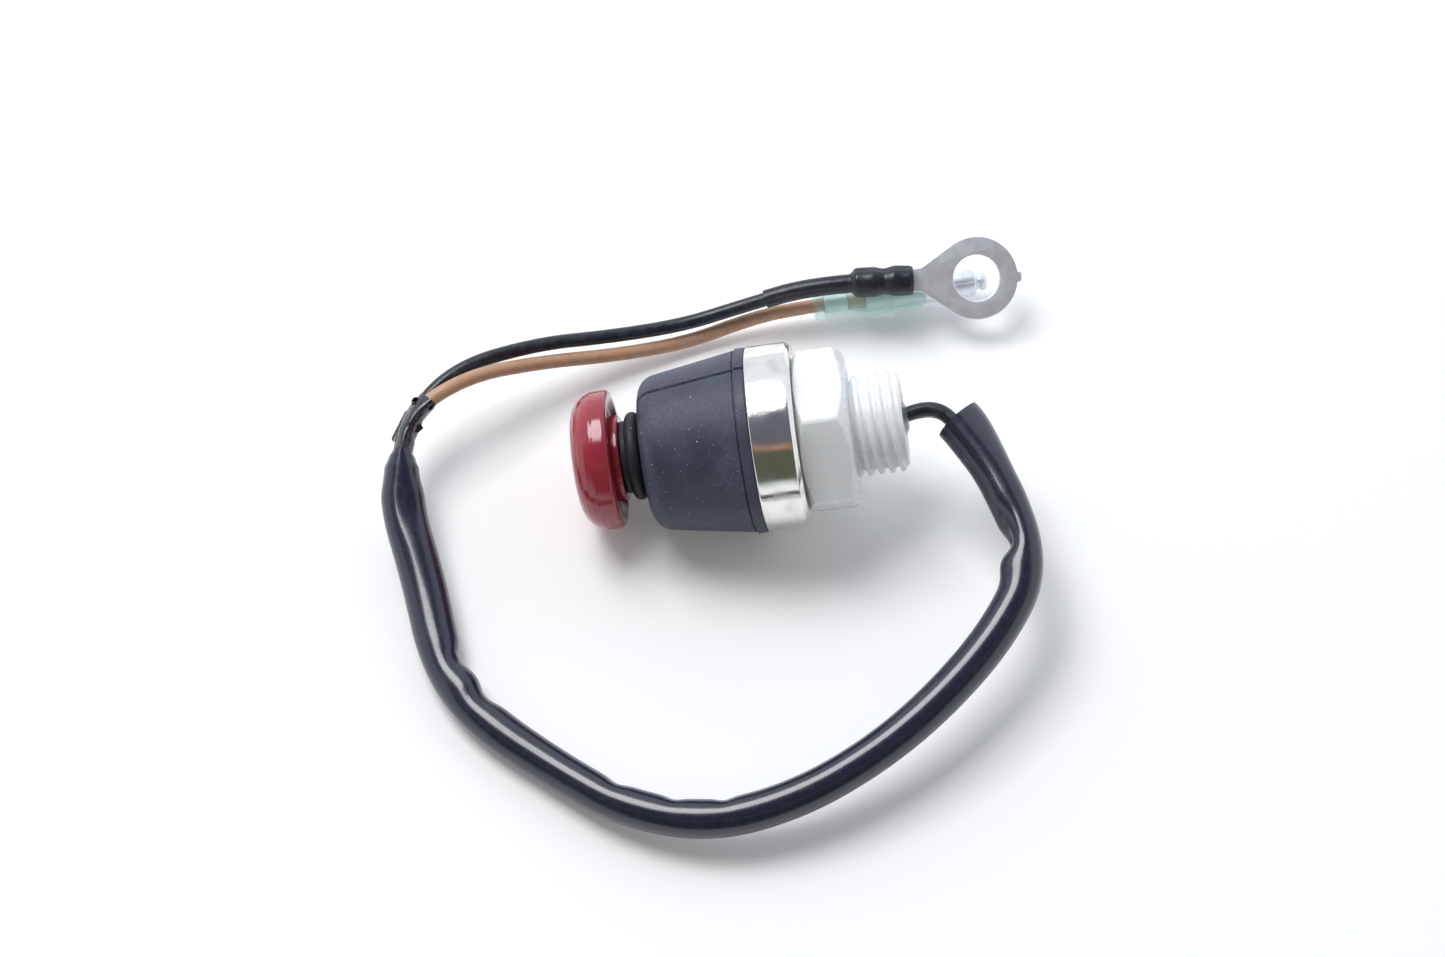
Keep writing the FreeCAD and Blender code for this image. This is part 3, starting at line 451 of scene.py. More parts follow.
def outline_points(corners: Sequence[Corner], step: float = 0.0, closed: bool = True) -> list[Pair]:
    """Return a profile's points, with its corners rounded and its long edges divided.

    Args:
        corners: each corner's place along the axis, its radius and, if rounded, its rounding.
        step: the longest edge allowed, or 0 to leave the edges whole.
        closed: whether the last corner joins the first.

    Returns:
        Points of place and radius.
    """
    points: list[Vector] = []
    count = len(corners)
    for index, corner in enumerate(corners):
        here = Vector(corner[:2])
        rounding = corner[2] if len(corner) > 2 else 0.0
        if rounding <= 0.0 or (not closed and index in (0, count - 1)):
            points.append(here)
            continue
        back = (Vector(corners[index - 1][:2]) - here).normalized()
        ahead = (Vector(corners[(index + 1) % count][:2]) - here).normalized()
        half_turn = (math.pi - back.angle(ahead)) / 2.0
        reach = rounding * math.tan(half_turn)
        centre = here + (back + ahead).normalized() * (rounding / math.cos(half_turn))
        first = here + back * reach - centre
        last = here + ahead * reach - centre
        steps = max(3, int(half_turn * 10))
        whole = first.angle_signed(last)
        for part in range(steps + 1):
            turn = Matrix.Rotation(-whole * part / steps, 2)
            points.append(centre + turn @ first)
    if step <= 0.0:
        return [(point.x, point.y) for point in points]
    divided: list[Pair] = []
    last_index = len(points) if closed else len(points) - 1
    for index in range(last_index):
        here, following = points[index], points[(index + 1) % len(points)]
        parts = max(1, math.ceil((following - here).length / step))
        for part in range(parts):
            place = here.lerp(following, part / parts)
            divided.append((place.x, place.y))
    if not closed:
        divided.append((points[-1].x, points[-1].y))
    return divided


def finish_mesh(made: Form, sharp_deg: float = 32.0) -> Mesh:
    """Return a smooth-shaded mesh with its sharper edges kept crisp.

    Args:
        made: the built form, which is freed.
        sharp_deg: the angle from which an edge stays crisp.

    Returns:
        The mesh.
    """
    bmesh.ops.remove_doubles(made, verts=made.verts, dist=1e-7)
    bmesh.ops.recalc_face_normals(made, faces=made.faces)
    mesh = bpy.data.meshes.new("skin")
    made.to_mesh(mesh)
    made.free()
    mesh.polygons.foreach_set("use_smooth", [True] * len(mesh.polygons))
    mesh.set_sharp_from_angle(angle=math.radians(sharp_deg))
    return mesh


def add_grid(made: Form, rows: Sequence[Sequence[Vector]], ends: Ends) -> None:
    """Add rings of points joined by faces.

    Args:
        made: the form that receives them.
        rows: rings of points in millimetres, all of the same count.
        ends: what becomes of the first and the last ring.
    """
    rings = [[made.verts.new(point * MM) for point in row] for row in rows]
    after_last = [rings[0]] if ends is Ends.JOINED else []
    for lower, upper in zip(rings, rings[1:] + after_last):
        for index, corner in enumerate(lower):
            after = (index + 1) % len(lower)
            made.faces.new((corner, lower[after], upper[after], upper[index]))
    if ends is Ends.CAPPED:
        made.faces.new(rings[0])
        made.faces.new(rings[-1])


def turned_rows(
    outline: Sequence[Pair], angles: Sequence[float], relief: Optional[Relief]
) -> list[list[Vector]]:
    """Return the rings of a profile turned round the X axis.

    Args:
        outline: points of place and radius.
        angles: the angles of each ring's points.
        relief: gives a point's radius from its place, angle and plain radius.

    Returns:
        The rings.
    """
    return [
        [ring_point(place, relief(place, angle, radius) if relief else radius, angle) for angle in angles]
        for place, radius in outline
    ]


def even_angles(count: int, fine_at: Sequence[float] = (), fine_span: float = 0.06) -> list[float]:
    """Return angles round a full turn, closer together at a few of them.

    Args:
        count: how many even angles there are.
        fine_at: the angles that need fine steps near them.
        fine_span: how far the fine steps reach to each side.

    Returns:
        The angles, rising.
    """
    angles = {round(FULL_TURN * index / count, 6) for index in range(count)}
    for centre in fine_at:
        for part in range(-6, 7):
            angles.add(round((centre + fine_span * part / 6.0) % FULL_TURN, 6))
    kept: list[float] = []
    for angle in sorted(angles):
        if not kept or angle - kept[-1] > 1e-3:
            kept.append(angle)
    return kept


def turned_mesh(outline: Sequence[Pair], angles: Sequence[float], relief: Optional[Relief] = None) -> Mesh:
    """Return a mesh of a closed profile turned round the X axis.

    Args:
        outline: points of place and radius.
        angles: the angles of each ring's points.
        relief: gives a point's radius from its place, angle and plain radius.

    Returns:
        The mesh.
    """
    made = bmesh.new()
    add_grid(made, turned_rows(outline, angles, relief), Ends.JOINED)
    bmesh.ops.dissolve_degenerate(made, dist=1e-7, edges=made.edges)
    return finish_mesh(made)


@dataclass
class Spine:
    """A line that a section is carried along, with its own upward directions."""

    points: list[Vector]
    ups: Optional[list[Vector]] = None
    places: list[float] = field(init=False)

    def __post_init__(self) -> None:
        """Work out the distance along the line at each point."""
        total = 0.0
        self.places = [0.0]
        for before, after in zip(self.points[:-1], self.points[1:]):
            total += (after - before).length
            self.places.append(total)

    @property
    def length(self) -> float:
        """The line's length."""
        return self.places[-1]

    def axes(self, index: int) -> tuple[Vector, Vector]:
        """Return the sideways and upward directions square to the line at one of its points.

        Args:
            index: the point's number.

        Returns:
            The two directions.
        """
        before = self.points[max(index - 1, 0)]
        after = self.points[min(index + 1, len(self.points) - 1)]
        along = (after - before).normalized()
        rough_up = self.ups[index] if self.ups else UP
        side = rough_up.cross(along).normalized()
        return side, along.cross(side)

    def nearest(self, spot: Pair) -> float:
        """Return the distance along the line that is nearest to a spot seen from above."""
        gaps = [math.hypot(p.x - spot[0], p.y - spot[1]) for p in self.points]
        return self.places[gaps.index(min(gaps))]

    def rows(self, section: Section, count: int) -> list[list[Vector]]:
        """Return the rings of a section carried along the line.

        Args:
            section: gives the sideways and upward reach at a distance and an angle.
            count: how many points each ring has.

        Returns:
            The rings.
        """
        rows = []
        for index, point in enumerate(self.points):
            side, up = self.axes(index)
            row = []
            for part in range(count):
                across, above = section(self.places[index], FULL_TURN * part / count)
                row.append(point + side * across + up * above)
            rows.append(row)
        return rows


def swept_mesh(spine: Spine, section: Section, count: int, wall: float = 0.0) -> Mesh:
    """Return a mesh of a section carried along a line, solid or as an open tube.

    Args:
        spine: the line.
        section: gives the sideways and upward reach at a distance and an angle.
        count: how many points each ring has.
        wall: the tube's wall, or 0 for a solid.

    Returns:
        The mesh.
    """
    def inner(place: float, angle: float) -> Pair:
        """Return the inner reach: the outer one less the wall.

        Args:
            place: the distance along the line.
            angle: the angle round it.

        Returns:
            The reach to the side and upwards.
        """
        across, above = section(place, angle)
        reach = math.hypot(across, above)
        share = max(reach - wall, 0.1) / reach
        return across * share, above * share

    made = bmesh.new()
    outer = spine.rows(section, count)
    if wall > 0.0:
        add_grid(made, outer + spine.rows(inner, count)[::-1], Ends.JOINED)
    else:
        add_grid(made, outer, Ends.CAPPED)
    return finish_mesh(made, sharp_deg=40.0)


def spline_curve(name: str, route: Sequence[Point], radius: float = 0.0) -> Piece:
    """Return a curve object whose smooth line has the route's points as its control points.

    Args:
        name: the object's name.
        route: the points in millimetres.
        radius: the cord's radius in millimetres, or 0 for a bare line.

    Returns:
        The curve object, in the scene.
    """
    data = bpy.data.curves.new(name, "CURVE")
    data.dimensions = "3D"
    data.resolution_u = 24
    spline = data.splines.new("NURBS")
    spline.points.add(len(route) - 1)
    for point, place in zip(spline.points, route):
        point.co = (place[0] * MM, place[1] * MM, place[2] * MM, 1.0)
    spline.order_u = 3
    spline.use_endpoint_u = True
    data.bevel_depth = radius * MM
    data.bevel_resolution = 8
    data.use_fill_caps = radius > 0.0
    return linked(name, data)


def line_points(route: Sequence[Point]) -> list[Vector]:
    """Return closely spaced points of a route's smooth line, read from its spline.

    Args:
        route: the points in millimetres.

    Returns:
        Points in millimetres.
    """
    bare = spline_curve("bare_line", route)
    bpy.context.view_layer.update()
    mesh = bpy.data.meshes.new_from_object(bare)
    points = [vertex.co.copy() / MM for vertex in mesh.vertices]
    bpy.data.objects.remove(bare)
    bpy.data.meshes.remove(mesh)
    return points


def eased(value: float, start: float, end: float) -> float:
    """Return 0 before start, 1 after end and a smooth rise between."""
    share = min(max((value - start) / (end - start), 0.0), 1.0)
    return share * share * (3.0 - 2.0 * share)


def between(stops: Sequence[Pair], place: float) -> float:
    """Return a value read smoothly from a short list of stops.

    Args:
        stops: places and values, in rising order of place.
        place: where to read.

    Returns:
        The value.
    """
    if place <= stops[0][0]:
        return stops[0][1]
    for (start, low), (end, high) in zip(stops[:-1], stops[1:]):
        if place <= end:
            return low + (high - low) * eased(place, start, end)
    return stops[-1][1]


def bump_at(value: float, centre: float, half_width: float) -> float:
    """Return a smooth bump that is 1 at the centre and fades out to each side."""
    return math.exp(-((value - centre) / half_width) ** 2)


def angle_gap(first: float, second: float) -> float:
    """Return the angle between two directions, from 0 to half a turn."""
    gap = abs(first - second) % FULL_TURN
    return min(gap, FULL_TURN - gap)


# Where things stand


@dataclass(frozen=True)
class SwitchAxis:
    """The switch's axis: a place along it is measured from the panel seat, towards the stem's end."""

    tilt_deg: float = 8.298
    seat: Point = (8.40098, 0.0, 13.57014)

    def matrix(self) -> Matrix:
        """Return the matrix from the switch's own directions to the frame, in metres."""
        turn = Matrix.Rotation(-math.radians(self.tilt_deg), 4, "Y")
        return Matrix.Translation(Vector(self.seat) * MM) @ turn

    def place(self, along: float, across: float = 0.0, up: float = 0.0) -> Vector:
        """Return a place in the frame, in millimetres, from its place on the switch."""
        turn = Matrix.Rotation(-math.radians(self.tilt_deg), 3, "Y")
        return Vector(self.seat) + turn @ Vector((along, across, up))


AXIS = SwitchAxis()
IN_PLACE = Matrix()


class Bench:
    """Sets finished pieces down in the scene, dresses them and ties them to the frame."""

    def __init__(self) -> None:
        """Make the materials and start the count of the pieces."""
        self.finishes = all_finishes()
        self.count = 0

    def dress(self, made: Piece, slot: Slot) -> None:
        """Give a piece its slot's material.

        Args:
            made: the piece.
            slot: the record's slot.
        """
        made.data.materials.clear()
        made.data.materials.append(self.finishes[slot])

    def set_down(
        self, name: str, mesh: Mesh, slot: Slot, node: str, body: Optional[Body] = Body.SWITCH,
        matrix: Matrix = AXIS.matrix()
    ) -> Piece:
        """Put a mesh into the scene as a piece.

        Args:
            name: the piece's name.
            mesh: its mesh.
            slot: the record's slot that it is finished from.
            node: the node of the frame that it stands for.
            body: the body that it rides on, or none for a piece that rides on no body.
            matrix: where its own directions lie in the frame, which are the switch's if it is left out.

        Returns:
            The piece.
        """
        mesh.name = node + "_skin"
        made = linked(name, mesh)
        made.matrix_world = matrix
        self.dress(made, slot)
        if body is not None:
            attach(made, body.value)
        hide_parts(node)
        self.report(made, len(mesh.polygons))
        return made

    def keep_node(self, node: str, slot: Slot) -> None:
        """Keep a node of the frame as it is and give it its material.

        Args:
            node: the node's name.
            slot: the record's slot.
        """
        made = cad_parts[node]
        made.material_slots[0].material = self.finishes[slot]
        self.report(made, len(made.data.polygons))

    def report(self, made: Piece, faces: int) -> None:
        """Log a finished piece."""
        self.count += 1
        LOG.info("piece %d: %s, %d faces", self.count, made.name, faces)


@dataclass
class SubAssembly:
    """Pieces that are made together and set down on the bench."""

    bench: Bench


# The stage


@dataclass
class PhotoStage:
    """Camera, light and table."""

    azimuth_deg: float = 3.92
    elevation_deg: float = 60.0
    distance: float = 478.5
    target: Point = (-2.4, 1.49, 0.0)
    focal_px: float = 3400.0
    width_px: float = 1445.0
    sensor: float = 36.0
    floor_half: float = 3000.0
    lamp_direction: Point = (-0.34, 0.39, 1.0)
    lamp_distance: float = 900.0
    lamp_size: float = 460.0
    lamp_power: float = 5.5
    sky: Colour = (0.87, 0.935, 1.0)
    floor_lift: float = 0.1
    room: Colour = (0.13, 0.14, 0.18)
    room_low: Colour = (0.1, 0.11, 0.075)
    room_warm: Colour = (0.5, 0.27, 0.17)
    room_edge: float = 0.52
    room_softness: float = 0.07
    low_edge: float = 0.72
    warm_half: float = 0.06
    floor_colour: Colour = (0.97, 0.97, 0.975)

    def toward_camera(self) -> Vector:
        """Return the direction from the object to the camera.

        Returns:
            The direction, of length 1.
        """
        azimuth = math.radians(self.azimuth_deg)
        elevation = math.radians(self.elevation_deg)
        level = math.cos(elevation)
        return Vector((-math.sin(azimuth) * level, -math.cos(azimuth) * level, math.sin(elevation)))

    def aim(self, data: bpy.types.ID, target: Vector, away: Vector, distance: float) -> Piece:
        """Set up a camera or a lamp that looks at a target.

        Args:
            data: the camera or the lamp.
            target: what it looks at, in millimetres.
            away: the direction from there to it.
            distance: how far away it stands.

        Returns:
            The camera or the lamp, in the scene.
        """
        made = linked(data.name, data)
        made.location = (target + away * distance) * MM
        made.rotation_euler = away.to_track_quat("Z", "Y").to_euler()
        return made

    def camera(self) -> None:
        """Set up the camera at the photograph's angle."""
        data = bpy.data.cameras.new("camera")
        data.sensor_width = self.sensor
        data.lens = self.focal_px / self.width_px * self.sensor
        data.clip_start = 0.01
        made = self.aim(data, Vector(self.target), self.toward_camera(), self.distance)
        bpy.context.scene.camera = made

    def light(self) -> None:
        """Set up the lamp and the surroundings: bright sky with a dim room on the camera's side."""
        data = bpy.data.lights.new("window", "AREA")
        data.shape = "SQUARE"
        data.size = self.lamp_size * MM
        data.energy = self.lamp_power
        self.aim(data, Vector(), Vector(self.lamp_direction).normalized(), self.lamp_distance)
        world = bpy.data.worlds.new("surroundings")
        bpy.context.scene.world = world
        desk = NodeDesk(world, "Background")
        way = desk.add("TexCoord", {}, "Generated")
        facing = {0: way, 1: self.toward_camera()}
        dim = desk.spread(
            desk.add("VectorMath", facing, "Value", operation="DOT_PRODUCT"), 0.0, 1.0,
            self.room_edge - self.room_softness, self.room_edge + self.room_softness
        )
        colour = desk.tint(dim, self.sky, self.room_colours(desk, way))
        seen = desk.tint(desk.add("LightPath", {}, "Is Camera Ray"), colour, (1.0, 1.0, 1.0))
        desk.plug(desk.shader, {"Color": seen})

    def room_colours(self, desk: NodeDesk, way: Socket) -> Socket:
        """Return the dim room's colours: bluish above, then a warm strip, then dull green towards the floor.

        Args:
            desk: the world's nodes.
            way: each direction.

        Returns:
            The colour output.
        """
        colours = desk.add("ValToRGB", {"Fac": desk.add("SeparateXYZ", {0: way}, "Z")}, "Color")
        stops = colours.node.color_ramp.elements
        for stop, steps, colour in zip(stops, (-3.0, 2.0), (self.room_low, self.room)):
            stop.position = self.low_edge + steps * self.warm_half
            stop.color = (*colour, 1.0)
        for steps, colour in ((-1.0, self.room_low), (0.0, self.room_warm), (1.0, self.room)):
            stops.new(self.low_edge + steps * self.warm_half).color = (*colour, 1.0)
        return colours

    def floor(self) -> None:
        """Lay the pale table, which keeps the object's shadow."""
        half = self.floor_half * MM
        corners = [(x * half, y * half, 0.0) for x, y in ((-1, -1), (1, -1), (1, 1), (-1, 1))]
        mesh = bpy.data.meshes.new("table")
        mesh.from_pydata(corners, [], [(0, 1, 2, 3)])
        desk = NodeDesk(bpy.data.materials.new("pale_table"))
        plain = {"Base Color": self.floor_colour, "Roughness": 0.9, "Specular IOR Level": 0.0}
        desk.plug(desk.shader, plain)
        camera_ray = desk.add("LightPath", {}, "Is Camera Ray")
        rays = {0: camera_ray, 1: camera_ray.node.outputs["Is Glossy Ray"]}
        seen = desk.add("Math", rays, operation="MAXIMUM")
        strength = desk.add("Math", {0: seen, 1: self.floor_lift}, operation="MULTIPLY")
        lift = desk.add("Emission", {"Strength": strength})
        joined = desk.add("AddShader", {0: desk.shader.outputs[0], 1: lift})
        desk.plug(desk.tree.nodes["Material Output"], {"Surface": joined})
        mesh.materials.append(desk.data)
        table = linked("table", mesh)

    def colours(self) -> None:
        """Show colours as they are written."""
        bpy.context.scene.view_settings.view_transform = "Standard"


# The lead


class Wire(Enum):
    """The lead's two wires, and the side of its middle line that each lies on."""

    BLACK = 1.0
    BROWN = -1.0


@dataclass(frozen=True)
class Dent:
    """A place where the sleeve's wall is pushed in, or out when the depth is negative."""

    spot: Pair
    toward_deg: float
    depth: float
    half_length: float
    half_angle_deg: float

    def push(self, along: float, angle: float) -> float:
        """Return how far the wall is pushed in.

        Args:
            along: the distance from the dent along the lead.
            angle: the angle round the lead.

        Returns:
            The distance that the wall moves inwards.
        """
        if abs(along) > 3.0 * self.half_length:
            return 0.0
        gap = angle_gap(angle, math.radians(self.toward_deg))
        near = bump_at(along, 0.0, self.half_length)
        return self.depth * near * bump_at(gap, 0.0, math.radians(self.half_angle_deg))


@dataclass
class Lead(SubAssembly):
    """The two wires, their vinyl sleeve and the tape at its pinched end."""

    wire_radius: float = 1.0
    pair_spacing: float = 2.12
    stem_length: float = 14.2
    contact_offset: float = 3.6
    contact_at: float = 3.0
    straight_to: float = stem_length * 0.46
    leave_at: float = stem_length * 0.85
    black_exit: Pair = (-0.3, 0.9)
    brown_exit: Pair = (0.9, -0.9)
    twist_start: float = -0.5
    twist_end: float = math.pi
    route: tuple[Point, ...] = (
        (26.9, 1.9, 15.9), (30.0, -1.7, 15.3), (35.0, -10.0, 14.0), (37.5, -22.5, 12.5), (32.0, -31.5, 11.0),
        (23.5, -40.0, 9.5), (14.5, -46.5, 8.0), (4.0, -51.5, 6.5), (-7.5, -53.5, 5.0), (-19.0, -50.0, 3.8),
        (-28.0, -43.0, 2.7), (-37.5, -35.0, 2.7), (-42.5, -26.5, 2.7), (-44.5, -14.0, 4.0),
        (-47.5, -2.0, 6.5), (-46.0, 8.5, 9.5)
    )
    black_route: tuple[Point, ...] = (
        (-39.2, 15.7, 10.6), (-27.5, 20.0, 8.9), (-17.0, 23.0, 5.0), (-6.5, 25.0, 3.8), (1.5, 26.4, 5.4),
        (13.2, 27.6, 8.7), (25.16, 27.2412, 8.7)
    )
    brown_route: tuple[Point, ...] = (
        (-37.5, 13.5, 11.8), (-27.0, 18.0, 7.2), (-16.5, 20.7, 3.6), (-6.0, 23.5, 1.4), (3.0, 26.0, 2.7),
        (9.5, 27.1, 3.2), (21.4553, 28.2955, 3.2)
    )
    sleeve_start_share: float = 0.72
    sleeve_end_share: float = 0.58
    sleeve_wall: float = 0.45
    sleeve_width: tuple[Pair, ...] = (
        (0.0, 2.75), (0.05, 2.75), (0.22, 2.75), (0.4, 2.62), (0.62, 2.65), (0.76, 2.85), (0.86, 3.05),
        (0.92, 3.05), (0.955, 3.05), (0.983, 2.45), (0.993, 1.9), (1.0, 1.3)
    )
    mouth_flare: float = 1.55
    mouth_flare_share: float = 0.07
    sleeve_height: tuple[Pair, ...] = (
        (0.0, 2.6), (0.22, 2.65), (0.62, 2.6), (0.76, 2.55), (0.86, 2.5), (0.95, 2.55), (1.0, 2.5)
    )
    dents: tuple[Dent, ...] = (
        Dent((34.2, -16.2), 150.0, 0.9, 2.4, 42.0), Dent((35.0, -18.8), 180.0, 1.6, 1.8, 55.0),
        Dent((35.6, -22.4), 165.0, -0.4, 2.2, 45.0), Dent((-37.4, -33.0), 175.0, 0.7, 2.2, 60.0),
        Dent((-40.4, -26.4), 175.0, 0.9, 2.0, 60.0), Dent((-39.0, -30.0), 120.0, -0.25, 2.0, 50.0),
        Dent((-12.2, -50.7), 160.0, 0.35, 1.4, 40.0), Dent((-5.7, -51.5), 160.0, 0.35, 1.3, 40.0),
        Dent((-19.2, -46.3), 165.0, 0.4, 1.6, 45.0), Dent((-46.0, -4.0), 100.0, 0.35, 4.0, 30.0)
    )

    def twisted(self, wire: Wire) -> list[Vector]:
        """Return the lead's points moved to one of its two wires, which twist half a turn.

        Args:
            wire: which wire.

        Returns:
            The moved points.
        """
        spots = [Vector(point) for point in self.route]
        steps = [(after - before).normalized() for before, after in zip(spots[:-1], spots[1:])]
        moved = []
        for index, spot in enumerate(spots):
            along = sum(steps[max(index - 1, 0):index + 1], Vector((0.0, 0.0, 0.0))).normalized()
            side = UP.cross(along).normalized()
            up = along.cross(side)
            angle = self.twist_start + (self.twist_end - self.twist_start) * index / (len(spots) - 1)
            offset = up * math.cos(angle) + side * math.sin(angle)
            moved.append(spot + offset * (wire.value * self.pair_spacing / 2.0))
        return moved

    def wire_route(self, wire: Wire) -> list[Vector]:
        """Return a wire's control points from its contact to its terminal.

        Args:
            wire: which wire.

        Returns:
            The points.
        """
        leave = self.black_exit if wire is Wire.BLACK else self.brown_exit
        own = self.black_route if wire is Wire.BLACK else self.brown_route
        start = [
            AXIS.place(self.contact_at, 0.0, wire.value * self.contact_offset),
            AXIS.place(self.straight_to, 0.0, wire.value * self.contact_offset),
            AXIS.place(self.leave_at, *leave)
        ]
        return start + self.twisted(wire) + [Vector(point) for point in own]

    def wire_line(self, wire: Wire) -> list[Vector]:
        """Return closely spaced points of a wire's smooth line."""
        return line_points(self.wire_route(wire))

    def make_wire(self, name: str, wire: Wire, slot: Slot) -> Piece:
        """Make one wire as a smooth curve.

        Args:
            name: the wire's name.
            wire: which wire.
            slot: its material slot.

        Returns:
            The wire.
        """
        made = spline_curve(name, self.wire_route(wire), self.wire_radius)
        self.bench.dress(made, slot)
        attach(made, Body.SWITCH.value)
        self.bench.report(made, 0)
        return made

    def sleeve_route(self) -> list[Vector]:
        """Return the sleeve's control points: the lead's, cut to the sleeve's two ends.

        Returns:
            The points, from the mouth to the pinched end.
        """
        spots = [Vector(point) for point in self.route]
        mouth = spots[0].lerp(spots[1], self.sleeve_start_share)
        end = spots[-2].lerp(spots[-1], self.sleeve_end_share)
        return [mouth, *spots[1:-1], end]

    def wires_inside(self, spine: Spine) -> list[list[Pair]]:
        """Return where the two wires lie across the sleeve at each point of its line.

        Args:
            spine: the line that the sleeve follows.

        Returns:
            For each point, both wires' places to the side and above.
        """
        wires = [self.wire_line(wire) for wire in Wire]
        held = []
        for index, point in enumerate(spine.points):
            side, up = spine.axes(index)
            offsets = [min(wire, key=lambda spot: (spot - point).length) - point for wire in wires]
            held.append([(offset.dot(side), offset.dot(up)) for offset in offsets])
        return held

    def make_sleeve(self) -> tuple[Piece, Spine]:
        """Make the soft sleeve with its flattened stretches and kinks.

        Returns:
            The sleeve and the line that it follows.
        """
        spine = Spine(line_points(self.sleeve_route()))
        held = self.wires_inside(spine)
        skin = self.wire_radius + self.sleeve_wall * 0.5
        dents = [(spine.nearest(dent.spot), dent) for dent in self.dents]

        def section(place: float, angle: float) -> Pair:
            """Return the sleeve's reach, oval and dented.

            Args:
                place: the distance along the line.
                angle: the angle round it.

            Returns:
                The reach to the side and upwards.
            """
            share = place / spine.length
            across = between(self.sleeve_width, share) * math.cos(angle)
            above = between(self.sleeve_height, share) * math.sin(angle)
            reach = math.hypot(across, above)
            inward = sum(dent.push(place - where, angle) for where, dent in dents)
            flare = self.mouth_flare * (1.0 - eased(share, 0.0, self.mouth_flare_share))
            least = 0.0
            for aside, high in held[min(bisect.bisect_left(spine.places, place), len(held) - 1)]:
                off = (aside * above - high * across) / reach
                if abs(off) < skin:
                    out = (aside * across + high * above) / reach
                    least = max(least, out + math.sqrt(skin**2 - off**2))
            kept = max(reach - inward, least) / reach
            outward = flare * max(math.cos(angle), 0.0) ** 2
            return across * kept + outward, above * kept

        mesh = swept_mesh(spine, section, 64, self.sleeve_wall)
        return self.bench.set_down("sleeve", mesh, Slot.BLACK_VINYL, "lead_sleeve", matrix=IN_PLACE), spine


@dataclass(frozen=True)
class Flap:
    """A loose strip of tape: where it starts beside the wires' line, which way it goes and its sizes."""

    leftward: float
    raised: float
    out_left: float
    out_along: float
    reach: float
    width: float
    turn: float
    on_edge: bool = False


